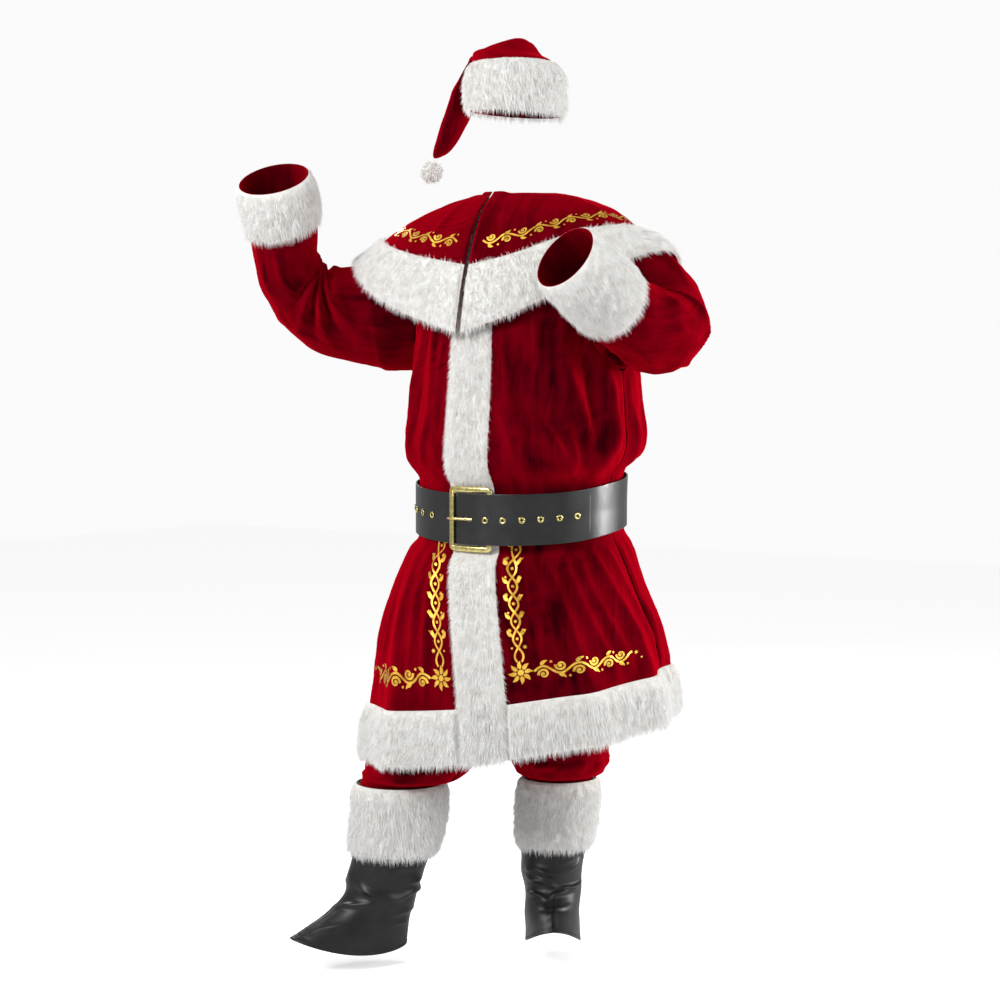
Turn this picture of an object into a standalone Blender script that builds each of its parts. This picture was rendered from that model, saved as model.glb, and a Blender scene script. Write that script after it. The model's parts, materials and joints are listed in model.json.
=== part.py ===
"""A santa suit in its worn pose, hollow and with nobody in it. Heights in the tables are above the floor, in metres.

The object faces -Y and stands up along +Z. The origin is the middle of the neck opening of the coat.
"""

import math

import bpy
import numpy as np
from mathutils import Vector
from mathutils.bvhtree import BVHTree

for old in list(bpy.data.objects):
    bpy.data.objects.remove(old, do_unlink=True)

NECK_HEIGHT = 1.50
GAP = 0.0003
VELVET, LEATHER = 0.002, 0.0016
LOOK = math.radians(35.0)

COLOURS = {"velvet": (0.33, 0.005, 0.018), "fur": (0.87, 0.87, 0.85), "vinyl": (0.012, 0.012, 0.013), "brass": (0.75, 0.55, 0.2)}
ROUGHNESS = {"velvet": 0.9, "fur": 1.0, "vinyl": 0.35, "brass": 0.25}


def curve(xs, ys, x):
    """A smooth line through the points of one column, held level beyond its ends."""
    xs, ys = np.asarray(xs, float), np.asarray(ys, float)
    slope = np.gradient(ys, xs)
    x = np.clip(x, xs[0], xs[-1])
    k = np.clip(np.searchsorted(xs, x, side="right") - 1, 0, len(xs) - 2)
    step = xs[k + 1] - xs[k]
    f = (x - xs[k]) / step
    return (
        ys[k] * (1 + 2 * f) * (1 - f) ** 2
        + slope[k] * step * f * (1 - f) ** 2
        + ys[k + 1] * f * f * (3 - 2 * f)
        - slope[k + 1] * step * f * f * (1 - f)
    )


def ramp(x, low, high):
    f = np.clip((x - low) / (high - low), 0.0, 1.0)
    return f * f * (3 - 2 * f)


def around(angle):
    """The angle brought into -180 to 180 degrees."""
    return (angle + 180.0) % 360.0 - 180.0


def unit(v):
    return v / np.maximum(np.linalg.norm(v, axis=-1, keepdims=True), 1e-12)


def seen(s, d, z):
    """A point given as it is seen from the front left: s to the right, d away, z up."""
    return np.stack([s * math.cos(LOOK) - d * math.sin(LOOK), s * math.sin(LOOK) + d * math.cos(LOOK), z], -1)


# The coat body: one closed surface, from which every panel and what lies on it is taken.
# height, half width, half depth, centre x, centre y, turn of the section
TORSO = np.array(
    [
        (0.40, 0.306, 0.290, 0.000, 0.000, 21),
        (0.56, 0.292, 0.272, 0.000, 0.000, 18),
        (0.68, 0.268, 0.242, -0.004, 0.000, 14),
        (0.78, 0.238, 0.210, -0.006, 0.000, 9),
        (0.82, 0.221, 0.193, -0.003, 0.000, 6),
        (0.845, 0.207, 0.178, 0.000, 0.000, 5),
        (0.870, 0.205, 0.176, 0.000, 0.000, 4),
        (0.950, 0.205, 0.176, 0.000, 0.000, 2),
        (0.972, 0.208, 0.179, 0.002, 0.000, 1),
        (1.000, 0.228, 0.196, 0.006, 0.000, 0),
        (1.030, 0.236, 0.202, 0.008, 0.000, 0),
        (1.100, 0.233, 0.198, 0.010, 0.000, 0),
        (1.200, 0.226, 0.188, 0.010, 0.000, 0),
        (1.300, 0.222, 0.172, 0.006, 0.000, 0),
        (1.380, 0.219, 0.150, 0.003, 0.000, 0),
        (1.440, 0.206, 0.124, 0.000, 0.000, 0),
        (1.480, 0.172, 0.106, 0.000, 0.000, 0),
        (1.505, 0.132, 0.094, 0.000, 0.000, 0),
        (1.530, 0.092, 0.084, 0.000, 0.000, 0),
    ]
)
BELT_HEIGHT, BELT_HALF, PLACKET_HALF = 0.906, 0.050, 0.048
SHAPE = 2.25

# Large folds: angle, half width in degrees, height where deepest, height where gone, depth outwards, lean in degrees a metre
SKIRT_FOLDS = (
    (-41, 7.5, 0.43, 0.86, 0.019, 3),
    (-74, 8.0, 0.43, 0.86, 0.023, -4),
    (-102, 7.0, 0.43, 0.86, 0.021, 4),
    (-126, 7.5, 0.43, 0.86, 0.017, 5),
    (-150, 7.0, 0.43, 0.86, 0.022, -3),
    (180, 11.0, 0.43, 0.86, 0.018, 0),
    (151, 7.0, 0.43, 0.86, 0.020, 4),
    (126, 7.5, 0.43, 0.86, 0.024, -5),
    (102, 7.0, 0.43, 0.86, 0.018, -8),
    (74, 8.0, 0.43, 0.86, 0.022, -6),
    (41, 7.5, 0.43, 0.86, 0.018, -4),
)
BODY_FOLDS = (
    (-43, 7.5, 1.00, 1.24, 0.009, 12),
    (-74, 7.5, 1.00, 1.20, 0.010, -10),
    (-102, 7.0, 1.00, 1.22, 0.009, 0),
    (-126, 7.0, 1.00, 1.26, 0.010, 8),
    (-151, 7.0, 1.00, 1.28, 0.009, 4),
    (180, 10.0, 1.00, 1.30, 0.009, 0),
    (151, 7.0, 1.00, 1.28, 0.010, 6),
    (126, 7.0, 1.00, 1.24, 0.009, 10),
    (102, 7.0, 1.00, 1.22, 0.010, 14),
    (74, 7.5, 1.00, 1.28, 0.012, 22),
    (43, 7.5, 1.00, 1.26, 0.010, 26),
)


def folds(table, u, h):
    out = np.zeros(np.broadcast(u, h).shape)
    for angle, half, deep, gone, depth, lean in table:
        f = np.clip((h - deep) / (gone - deep), 0.0, 1.0)
        away = around(u - angle - lean * (h - deep))
        out += depth * (1 - f) * np.exp(-((away / half) ** 2))
    return out


def belt_line(azimuth):
    """How far the belt rises above its mean height, all round."""
    return -0.023 * np.cos(np.radians(azimuth - 10.0)) + 0.019


def torso(u, h):
    """u in degrees from the front opening towards the wearer's left, h the height before the tilts."""
    u, h = np.broadcast_arrays(np.asarray(u, float), np.asarray(h, float))
    columns = [curve(TORSO[:, 0], TORSO[:, k], h) for k in range(1, 6)]
    half_width, half_depth, cx, cy, turn = columns
    a = np.radians(u)
    squeeze = (np.abs(np.sin(a)) ** SHAPE + np.abs(np.cos(a)) ** SHAPE) ** (-1 / SHAPE)
    off_belt = 1 - np.exp(-(((h - BELT_HEIGHT) / 0.075) ** 4))
    flat = 1 - np.exp(-((around(u) / 14.0) ** 4))
    wave = np.where(h < BELT_HEIGHT, folds(SKIRT_FOLDS, u, h) - 0.010 * ramp(h, 0.86, 0.5), folds(BODY_FOLDS, u, h))
    wave = wave * off_belt * flat
    x = np.sin(a) * (half_width * squeeze + wave)
    y = -np.cos(a) * (half_depth * squeeze + wave)
    t = np.radians(turn)
    px, py = cx + x * np.cos(t) - y * np.sin(t), cy + x * np.sin(t) + y * np.cos(t)
    azimuth = u + turn
    lift = (0.029 + 0.046 * np.cos(np.radians(azimuth - 125.0))) * ramp(h, 0.84, 0.46)
    tilt = belt_line(azimuth) * np.exp(-(((h - BELT_HEIGHT) / 0.13) ** 4))
    shoulder = 0.016 * ramp(px, 0.04, 0.17) * ramp(h, 1.30, 1.46)
    return np.stack([px, py, h + lift + tilt + shoulder], -1)


def normals(surface, u, v, du=0.5, dv=0.003):
    across = surface(u + du, v) - surface(u - du, v)
    up = surface(u, v + dv) - surface(u, v - dv)
    n = unit(np.cross(across, up))
    p = surface(u, v)
    middle = p.mean(axis=1, keepdims=True)
    return n if np.sum((p - middle) * n) > 0 else -n


def grid_normals(p, closed):
    """Normals of a grid of points, facing away from the middle of each row."""
    if closed:
        across = np.roll(p, -1, 1) - np.roll(p, 1, 1)
    else:
        across = np.gradient(p, axis=1)
    n = unit(np.cross(across, np.gradient(p, axis=0)))
    return n


MATERIALS = {}


def material(name, kind):
    made = bpy.data.materials.new(name)
    made.use_nodes = True
    shader = made.node_tree.nodes["Principled BSDF"]
    shader.inputs["Base Color"].default_value = (*COLOURS[kind], 1.0)
    shader.inputs["Roughness"].default_value = ROUGHNESS[kind]
    shader.inputs["Metallic"].default_value = 1.0 if kind == "brass" else 0.0
    return made


def make(name, kind, verts, faces):
    verts = np.asarray(verts, float)
    tri = np.asarray(faces)
    volume = np.einsum("ij,ij->i", verts[tri[:, 0]], np.cross(verts[tri[:, 1]], verts[tri[:, 2]])).sum()
    if volume < 0:
        tri = tri[:, ::-1]
    mesh = bpy.data.meshes.new(name)
    mesh.from_pydata(verts.tolist(), [], tri.tolist())
    mesh.materials.append(material(name + "_" + kind, kind))
    mesh.shade_smooth()
    mesh.set_sharp_from_angle(angle=math.radians(55))
    ob = bpy.data.objects.new(name, mesh)
    bpy.context.scene.collection.objects.link(ob)
    ob.location.z = -NECK_HEIGHT
    return ob


SKINS = {}


def wall(name, kind, outer, inner, closed=False, tip=None, left_out=()):
    """A sheet between two grids of points, closed all round its edges and round any cell left out."""
    SKINS[name] = (outer, closed)
    rows, cols = outer.shape[:2]
    count = rows * cols
    lead = inner if kind == "fur" else outer
    verts = [*outer.reshape(-1, 3), *inner.reshape(-1, 3)]
    cells = {(i, j) for i in range(rows - 1) for j in range(cols if closed else cols - 1)} - set(left_out)
    faces = []
    for i, j in sorted(cells):
        k = (j + 1) % cols
        ring = [(i, j), (i, k), (i + 1, k), (i + 1, j)]
        o = [r * cols + c for r, c in ring]
        d02 = np.linalg.norm(lead[ring[0]] - lead[ring[2]])
        d13 = np.linalg.norm(lead[ring[1]] - lead[ring[3]])
        order = (0, 1, 2, 3) if d02 <= d13 else (1, 2, 3, 0)
        a, b, c, d = (o[n] for n in order)
        faces += [(a, b, c), (a, c, d)]
        faces += [(a + count, c + count, b + count), (a + count, d + count, c + count)]
        near = [(i - 1, j), (i, (j + 1) % cols if closed else j + 1), (i + 1, j), (i, (j - 1) % cols if closed else j - 1)]
        for side in range(4):
            if near[side] in cells or (tip is not None and side == 2 and i == rows - 2):
                continue
            p, q = o[side], o[(side + 1) % 4]
            faces += [(q, p, p + count), (q, p + count, q + count)]
    if tip is not None:
        last = (rows - 1) * cols
        verts += [tip[0], tip[1]]
        for j in range(cols):
            k = (j + 1) % cols
            faces.append((last + j, last + k, 2 * count))
            faces.append((last + k + count, last + j + count, 2 * count + 1))
    return make(name, kind, verts, faces)


def fur_height(i, j, top, edge=0.3):
    """Height of a fur strip over its grid: low at the edges and round over the middle."""
    across = 1 - np.abs(2 * np.asarray(i) - 1) ** 3
    along = 1 - np.abs(2 * np.asarray(j) - 1) ** 8
    return top * (edge + (1 - edge) * np.minimum(across, 1) * (0.35 + 0.65 * along))


# Rows of the coat: the hem rows, the waist rows and, round each armhole, the heights of the sleeve's own points.
SLEEVE_COLUMNS = 20
ARM_MIDDLE, ARM_HALF, ARM_WIDE = 1.325, 0.133, 31.0
turns = np.arange(SLEEVE_COLUMNS) * 360.0 / SLEEVE_COLUMNS - 90.0
arm_rows = ARM_MIDDLE + ARM_HALF * np.sin(np.radians(turns[: SLEEVE_COLUMNS // 2 + 1]))
HEM_ROWS = [0.430, 0.455, 0.483, 0.511, 0.537]
BODY_ROWS = [0.62, 0.71, 0.79, 0.842, 0.957, 0.982, 1.025, 1.10]
ROWS = np.array([*HEM_ROWS, *BODY_ROWS, *arm_rows, 1.497, 1.528])


def side_edge(h):
    """How far round a front panel reaches: to the side seam, or less beside the armhole."""
    f = np.clip((h - ARM_MIDDLE) / ARM_HALF, -1, 1)
    return 90.0 - ARM_WIDE * np.sqrt(np.maximum(0.0, 1 - f * f))


def placket_edge(h):
    """Half the angle that the fur strip down the front takes up."""
    a = curve(TORSO[:, 0], TORSO[:, 1], h)
    wide = PLACKET_HALF * curve([0.4, 1.25, 1.5], [1.0, 0.98, 0.75], h)
    return np.degrees(wide / (a * 1.02))


def seam(metres, h):
    return np.degrees(metres / curve(TORSO[:, 0], TORSO[:, 1], h))


h = ROWS[:, None]
edge = side_edge(h) - seam(0.00018, h)
near, far = seam(0.00025, h), placket_edge(h)
share = np.linspace(0, 1, 6)[None, :]
left_u = np.concatenate([near, far / 2, far + share * (edge - far)], axis=1)
back_edge = 180.0 - side_edge(h) + seam(0.00018, h)
back_u = back_edge + np.linspace(0, 1, 16)[None, :] * (360.0 - 2 * back_edge)
PANELS = {"coat_front_left": left_u, "coat_front_right": -left_u[:, ::-1], "coat_back": back_u}
solids = {}
for name, u in PANELS.items():
    rows = np.broadcast_to(h, u.shape)
    n = normals(torso, u, rows)
    p = torso(u, rows)
    solids[name] = wall(name, "velvet", p, p - VELVET * n)

# The fur strip down the front lies over both front panels, pressed flat under the belt.
placket_u = np.concatenate([-far, -far / 2, 0 * far, far / 2, far], axis=1)
rows = np.broadcast_to(h, placket_u.shape)
p, n = torso(placket_u, rows), normals(torso, placket_u, rows)
i = np.linspace(0, 1, 5)[None, :]
pressed = 1 - 0.86 * np.exp(-(((rows - BELT_HEIGHT) / 0.085) ** 6))
thick = fur_height(i, 0.5, 0.017, 0.35) * pressed * (1 - 0.5 * ramp(rows, 1.25, 1.40))
thick = np.maximum(thick, 0.0014)
solids["front_fur"] = wall("front_fur", "fur", p + (GAP + thick)[..., None] * n, p + GAP * n)

# The hem fur, in three lengths as the panels are, each from its panel's own points.
hem = slice(0, len(HEM_ROWS))
for name, u in (("hem_fur_left", left_u[:, 2:]), ("hem_fur_right", -left_u[:, :1:-1]), ("hem_fur_back", back_u)):
    u = u[hem].copy()
    if name == "hem_fur_left":
        u[:, 0] += seam(0.0006, h[hem, 0])
    if name == "hem_fur_right":
        u[:, -1] -= seam(0.0006, h[hem, 0])
    rows = np.broadcast_to(h[hem], u.shape)
    p, n = torso(u, rows), normals(torso, u, rows)
    thick = fur_height(np.linspace(0, 1, len(u))[:, None], 0.5, 0.022, 0.35) * np.ones(u.shape)
    solids[name] = wall(name, "fur", p + (GAP + thick)[..., None] * n, p + GAP * n)


def tube_table(table):
    """Centre, half axis to the outside, half axis sideways and half width of a bent tube, at any place along it."""
    t = np.array([(*row[0], *row[1], row[2]) for row in table], float)
    knots = np.arange(len(t), dtype=float)

    def at(q):
        return np.stack([curve(knots, t[:, k], q) for k in range(7)], -1)

    def frame(q):
        now = at(q)
        ahead, behind = at(q + 0.05), at(q - 0.05)
        middle = (now[..., :3] + now[..., 3:6]) / 2
        along = (ahead[..., :3] + ahead[..., 3:6] - behind[..., :3] - behind[..., 3:6]) / 2
        out = (now[..., 3:6] - now[..., :3]) / 2
        side = unit(np.cross(unit(along), out)) * now[..., 6:7]
        return middle, out, side

    return frame


# Each sleeve: a row's point in the crook of the arm, its point on the elbow side, and half its width the other way.
RIGHT_ARM = [
    (seen(-0.285, 0.100, 1.420), seen(-0.270, 0.110, 1.190), 0.085),
    (seen(-0.335, 0.105, 1.402), seen(-0.335, 0.125, 1.205), 0.084),
    (seen(-0.385, 0.105, 1.393), seen(-0.405, 0.125, 1.224), 0.083),
    (seen(-0.405, 0.095, 1.402), seen(-0.472, 0.110, 1.270), 0.080),
    (seen(-0.412, 0.080, 1.420), seen(-0.515, 0.085, 1.335), 0.076),
    (seen(-0.411, 0.055, 1.448), seen(-0.536, 0.058, 1.405), 0.071),
    (seen(-0.407, 0.025, 1.492), seen(-0.543, 0.028, 1.462), 0.068),
    (seen(-0.412, -0.005, 1.538), seen(-0.550, 0.000, 1.512), 0.067),
    (seen(-0.420, -0.030, 1.578), seen(-0.558, -0.022, 1.555), 0.068),
]
LEFT_ARM = [
    ((0.285, -0.060, 1.335), (0.205, 0.078, 1.330), 0.118),
    ((0.290, -0.050, 1.325), (0.262, 0.098, 1.300), 0.104),
    ((0.284, -0.045, 1.317), (0.318, 0.104, 1.256), 0.094),
    ((0.276, -0.047, 1.314), (0.358, 0.072, 1.219), 0.088),
    ((0.268, -0.056, 1.320), (0.368, 0.018, 1.216), 0.081),
    ((0.259, -0.072, 1.331), (0.359, -0.052, 1.233), 0.075),
    ((0.252, -0.112, 1.357), (0.338, -0.132, 1.273), 0.070),
    ((0.238, -0.160, 1.394), (0.318, -0.204, 1.323), 0.067),
    ((0.219, -0.208, 1.430), (0.297, -0.258, 1.366), 0.066),
]
# Creases of the sleeves: place along, angle from the elbow side, their half sizes, depth outwards
RIGHT_CREASES = ((1.6, 150, 0.35, 60, 0.005), (2.4, 40, 0.4, 50, 0.006), (3.3, -60, 0.35, 55, 0.006), (4.4, 30, 0.4, 60, 0.005), (5.2, -120, 0.35, 60, 0.005))
LEFT_CREASES = ((1.7, -90, 0.35, 55, 0.006), (2.7, 60, 0.4, 50, 0.006), (3.8, -50, 0.35, 55, 0.006), (4.9, 70, 0.35, 55, 0.005), (5.8, -30, 0.35, 60, 0.004))


def sleeve_surface(side, table, creases):
    """A sleeve that starts as its armhole and turns into the rows of its table. v is 0 at the armhole and 1 at the first row."""
    frame = tube_table(table)
    ring = np.radians(turns)
    hole_u = side * (90.0 - (ARM_WIDE - 0.27) * np.cos(ring))
    hole_h = ARM_MIDDLE + (ARM_HALF - 0.0009) * np.sin(ring)
    hole = torso(hole_u, hole_h)
    centre = hole.mean(axis=0)
    middle, out, wide = (a[0] for a in frame(np.array([0.0])))
    flat = np.stack([(hole - centre) @ unit(out), (hole - centre) @ unit(wide)], -1)
    angle = np.unwrap(np.arctan2(flat[:, 1], flat[:, 0]))
    way = 1.0 if angle[-1] > angle[0] else -1.0
    steps = way * np.arange(SLEEVE_COLUMNS) * 2 * math.pi / SLEEVE_COLUMNS
    start = np.mean(angle - steps)
    offset = hole - centre

    def surface(c, v):
        """c is the column, and may lie between two of them."""
        c, v = np.broadcast_arrays(np.asarray(c, float), np.asarray(v, float))
        k = np.floor(c).astype(int)
        f = (c - k)[..., None]
        from_hole = offset[k % SLEEVE_COLUMNS] * (1 - f) + offset[(k + 1) % SLEEVE_COLUMNS] * f
        q = np.maximum(v - 1.0, 0.0)
        middle, out, wide = frame(q)
        a = start + way * c * 2 * math.pi / SLEEVE_COLUMNS
        first, out0, wide0 = frame(np.zeros_like(q))
        bulge = np.zeros(c.shape)
        for place, turn, long, broad, depth in creases:
            away = around(np.degrees(a) - turn - 25 * (q - place))
            bulge += depth * np.exp(-(((q - place) / long) ** 2) - (away / broad) ** 2)
        ringed = out * np.cos(a)[..., None] + wide * np.sin(a)[..., None]
        ringed = ringed + unit(ringed) * bulge[..., None]
        near = np.clip(v, 0, 1)[..., None]
        core = np.where(v[..., None] < 1, centre * (1 - near) + first * near, middle)
        w = ramp(v, 0.0, 1.3)[..., None]
        return core + from_hole * (1 - w) + ringed * w

    return surface


SLEEVE_ROWS = np.array([0, 0.4, 0.85, 1.4, 2.0, 2.7, 3.4, 4.1, 4.8, 5.6, 6.3, 7.05, 7.7, 8.35, 9.0])
CUFF_FROM = 11
# The bent right sleeve is two solids, parted at this row in the elbow, so that its hollow stays open.
ELBOW_ROW = 8
columns = np.arange(SLEEVE_COLUMNS)[None, :].astype(float)
sleeve_points = {}
for side, name, table, creases in ((-1, "right", RIGHT_ARM, RIGHT_CREASES), (1, "left", LEFT_ARM, LEFT_CREASES)):
    surface = sleeve_surface(side, table, creases)
    c, v = np.broadcast_arrays(columns, SLEEVE_ROWS[:, None])
    p = surface(c, v)
    n = grid_normals(p, True)
    if np.sum((p - p.mean(axis=1, keepdims=True)) * n) < 0:
        n = -n
    if name == "right":
        upper, lower, nl = p[: ELBOW_ROW + 1], p[ELBOW_ROW:].copy(), n[ELBOW_ROW:]
        lower[0] += GAP * unit(p[ELBOW_ROW + 1] - p[ELBOW_ROW])
        wall("sleeve_right_upper", "velvet", upper, upper - VELVET * n[: ELBOW_ROW + 1], closed=True)
        wall("sleeve_right_lower", "velvet", lower, lower - VELVET * nl, closed=True)
    else:
        wall("sleeve_left", "velvet", p, p - VELVET * n, closed=True)
    SKINS["sleeve_" + name] = (p, True)
    pc, nc = p[CUFF_FROM:], n[CUFF_FROM:]
    thick = fur_height(np.linspace(0, 1, len(pc))[:, None], 0.5, 0.017, 0.35) * np.ones(pc.shape[:2])
    solids["cuff_" + name] = wall("cuff_" + name, "fur", pc + (GAP + thick)[..., None] * nc, pc + GAP * nc, closed=True)


# The shoulder cape: where its edge hangs, by direction from the front towards the wearer's left: x, y, height
CAPE_EDGE = (
    (1.2, 0.0050, -0.213, 1.262),
    (25, 0.095, -0.200, 1.285),
    (45, 0.165, -0.165, 1.318),
    (62, 0.212, -0.108, 1.374),
    (78, 0.290, -0.050, 1.418),
    (92, 0.335, 0.020, 1.408),
    (108, 0.325, 0.095, 1.372),
    (130, 0.245, 0.165, 1.315),
    (155, 0.120, 0.198, 1.275),
    (180, 0.000, 0.205, 1.262),
    (205, -0.120, 0.200, 1.275),
    (232, -0.235, 0.165, 1.305),
    (255, -0.315, 0.090, 1.350),
    (275, -0.362, 0.000, 1.385),
    (293, -0.366, -0.094, 1.395),
    (310, -0.318, -0.180, 1.372),
    (328, -0.212, -0.222, 1.318),
    (345, -0.100, -0.222, 1.280),
    (358.8, -0.0050, -0.216, 1.262),
)
CAPE_COLUMNS = 39
CAPE_ROWS = np.array([0.0, 0.12, 0.26, 0.41, 0.56, 0.70, 0.80, 0.90, 1.0])


def cape_grid(columns, rows):
    """The cape as it would hang with nothing under it, from the neck out to its edge."""
    t = np.array(CAPE_EDGE)
    spread = np.linspace(t[0, 0], t[-1, 0], columns)
    edge = np.stack([curve(t[:, 0], t[:, k], spread) for k in (1, 2, 3)], -1)
    a = np.radians(spread)
    neck = np.stack([0.0975 * np.sin(a), -0.0895 * np.cos(a), np.full(columns, 1.535)], -1)
    over = np.stack([edge[:, 0] * 0.72, edge[:, 1] * 0.80, 1.515 + 0.02 * ramp(edge[:, 0], 0.05, 0.2)], -1)
    v = rows[:, None, None]
    return neck * (1 - v) ** 2 + 2 * over * v * (1 - v) + edge * v * v


def tree_of(names):
    """The outer surfaces of some solids, to keep a sheet off them."""
    verts, faces = [], []
    for name in names:
        skin, closed = SKINS[name]
        rows, cols = skin.shape[:2]
        start = len(verts)
        outward = np.cross(skin[1:, 0] - skin[:-1, 0], skin[:-1, 1] - skin[:-1, 0])
        flip = np.sum(outward * (skin[:-1, 0] - skin.mean(axis=1)[:-1])) > 0
        verts += [Vector(v) for v in skin.reshape(-1, 3)]
        for i in range(rows - 1):
            for j in range(cols if closed else cols - 1):
                k = (j + 1) % cols
                face = [start + i * cols + j, start + i * cols + k, start + (i + 1) * cols + k, start + (i + 1) * cols + j]
                faces.append(face[::-1] if flip else face)
    return BVHTree.FromPolygons(verts, faces)


def keep_off(points, tree, gap, rounds, smooth):
    """Moves the points of a sheet out until each is the gap away from what lies under it."""
    p = points.copy()
    for turn in range(rounds):
        if smooth and turn:
            even = p.copy()
            even[1:-1, 1:-1] = (p[:-2, 1:-1] + p[2:, 1:-1] + p[1:-1, :-2] + p[1:-1, 2:]) / 4
            even[-1, 1:-1] = (p[-1, :-2] + p[-1, 2:]) / 2
            p += smooth * (even - p)
        for index in np.ndindex(p.shape[:2]):
            point = Vector(p[index])
            place, normal, _, _ = tree.find_nearest(point)
            side = (point - place).dot(normal)
            away = (point - place).length * (1 if side >= 0 else -1)
            room = gap[index]
            if away < room:
                push = (point - place).normalized() * (1 if side >= 0 else -1) if abs(away) > 1e-5 else normal
                if push.z < -0.1:
                    push = normal
                p[index] += np.array(push) * (room - away)
    return p


body = tree_of(["coat_front_left", "coat_front_right", "coat_back", "front_fur", "sleeve_left", "sleeve_right"])
hung = cape_grid(CAPE_COLUMNS, CAPE_ROWS)
room = np.full(hung.shape[:2], 0.0089)
room[0] = 0.0027
cape = keep_off(hung, body, room, 16, 0.35)
cape = keep_off(cape, body, room, 4, 0.0)
cape_n = grid_normals(cape, False)
if np.sum(cape_n[..., 2]) < 0:
    cape_n = -cape_n
solids["cape"] = wall("cape", "velvet", cape, cape - VELVET * cape_n)
trim = slice(5, None)
p, n = cape[trim], cape_n[trim]
thick = fur_height(np.linspace(0, 1, len(p))[:, None], np.linspace(0, 1, CAPE_COLUMNS)[None, :], 0.015, 0.35)
solids["cape_fur"] = wall("cape_fur", "fur", p + (GAP + thick)[..., None] * n, p + GAP * n)


# The belt: its line round the waist, and layers told by how far each lies out from that line.
BELT_A, BELT_B, STRAP = 0.2116, 0.1846, 0.003


def belt_point(azimuth, out, up):
    """azimuth in degrees, out in metres from the belt's own line, up in metres from its middle."""
    a = np.radians(azimuth)
    squeeze = (np.abs(np.sin(a)) ** SHAPE + np.abs(np.cos(a)) ** SHAPE) ** (-1 / SHAPE)
    lean = 0.03 * ramp(np.abs(around(azimuth - 100.0)), 70.0, 20.0) * np.maximum(up, 0)
    x, y = np.sin(a) * (BELT_A * squeeze + out + lean), -np.cos(a) * (BELT_B * squeeze + out + lean)
    return np.stack(np.broadcast_arrays(x, y, BELT_HEIGHT + belt_line(azimuth) + up), -1)


# The strap from its end round the buckle's hinge bar, all round, under the free bar, and on as the tail: azimuth, out
STRAP_LINE = (
    (27.0, 0.0102), (22.0, 0.0102), (16.0, 0.0102), (12.6, 0.0094), (11.0, 0.0072), (10.6, 0.0048), (11.2, 0.0022), (13.0, 0.0004), (17.0, 0.0),
    *((a, 0.0) for a in range(24, 338, 7)),
    (340.0, 0.0003), (346.0, 0.0008), (352.0, 0.0016), (356.0, 0.0030), (358.0, 0.0043), (360.0, 0.0056), (363.0, 0.0083), (366.0, 0.0112), (370.0, 0.0136),
    (376.0, 0.0138), (382.0, 0.0138), (388.0, 0.0132), (393.0, 0.0090), (398.0, 0.0050), (404.0, 0.0038), *((a, 0.0037) for a in (410, 416, 422)),
)
line = np.array(STRAP_LINE)
ends = 0.5 * line[-1] + 0.5 * np.array([430.0, 0.0037])
line = np.vstack([line, ends, (430.0, 0.0037)])
ups = np.array([-1, -0.09, 0.09, 1.0]) * (BELT_HALF - 0.001)
azimuths = line[:, 0][None, :] * np.ones((4, 1))
outs = line[:, 1][None, :] * np.ones((4, 1))
level = ups[:, None] * np.ones_like(azimuths)
level[:, -1] *= 0.80
mid = belt_point(azimuths, outs, level)
side = unit(np.cross(np.gradient(mid, axis=1), np.gradient(mid, axis=0)))
holes = [(1, j) for j in range(len(line) - 1) if 10.0 <= line[j, 0] < 16.0 and j < 9 or 357.0 <= line[j, 0] < 366.0]
solids["belt_strap"] = wall("belt_strap", "vinyl", mid + STRAP / 2 * side, mid - STRAP / 2 * side, left_out=holes)


def sweep(name, kind, centres, outward, half_wide, half_thick, closed):
    """A bar with a rounded section along a line of points."""
    centres = np.asarray(centres, float)
    if closed:
        along = unit(np.roll(centres, -1, 0) - np.roll(centres, 1, 0))
    else:
        along = unit(np.gradient(centres, axis=0))
    out = unit(outward - np.sum(outward * along, -1, keepdims=True) * along)
    wide = np.cross(along, out)
    ring = [(1, 0.45), (0.45, 1), (-0.45, 1), (-1, 0.45), (-1, -0.45), (-0.45, -1), (0.45, -1), (1, -0.45)]
    size = len(ring)
    verts = [c + w * half_wide * a + o * half_thick * b for c, w, o in zip(centres, wide, out) for a, b in ring]
    count = len(centres)
    faces = []
    for i in range(count if closed else count - 1):
        for j in range(size):
            a, b = i * size + j, i * size + (j + 1) % size
            c, d = (a + size) % (count * size), (b + size) % (count * size)
            faces += [(a, b, d), (a, d, c)]
    if not closed:
        for j in range(1, size - 1):
            faces += [(0, j + 1, j), ((count - 1) * size, (count - 1) * size + j, (count - 1) * size + j + 1)]
    return make(name, kind, verts, faces)


# The buckle frame, round its corners: the free bar lies over the strap and the hinge bar in its loop.
corners = []
for azimuth, up, first in ((14.3, 0.0575, 0), (-8.5, 0.0575, 90), (-8.5, -0.0575, 180), (14.3, -0.0575, 270)):
    for step in (0, 45, 90):
        a = math.radians(first + step)
        inset_az, inset_up = 1.6 * (1 - abs(math.cos(a))), 0.005 * (1 - abs(math.sin(a)))
        corners.append((azimuth - math.copysign(inset_az, azimuth - 3), up - math.copysign(inset_up, up)))
path = []
for k, (azimuth, up) in enumerate(corners):
    path.append((azimuth, up))
    if k % 3 == 2:
        to = corners[(k + 1) % len(corners)]
        path += [(azimuth + (to[0] - azimuth) * f, up + (to[1] - up) * f) for f in (0.33, 0.67)]
path = np.array(path)
bar_out = curve([-8.5, 3.0, 14.3], [0.0066, 0.0060, 0.0051], path[:, 0])
centres = belt_point(path[:, 0], bar_out, path[:, 1])
outward = belt_point(path[:, 0], bar_out + 0.01, path[:, 1]) - centres
solids["buckle_frame"] = sweep("buckle_frame", "brass", centres, outward, 0.0043, 0.0026, True)
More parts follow.
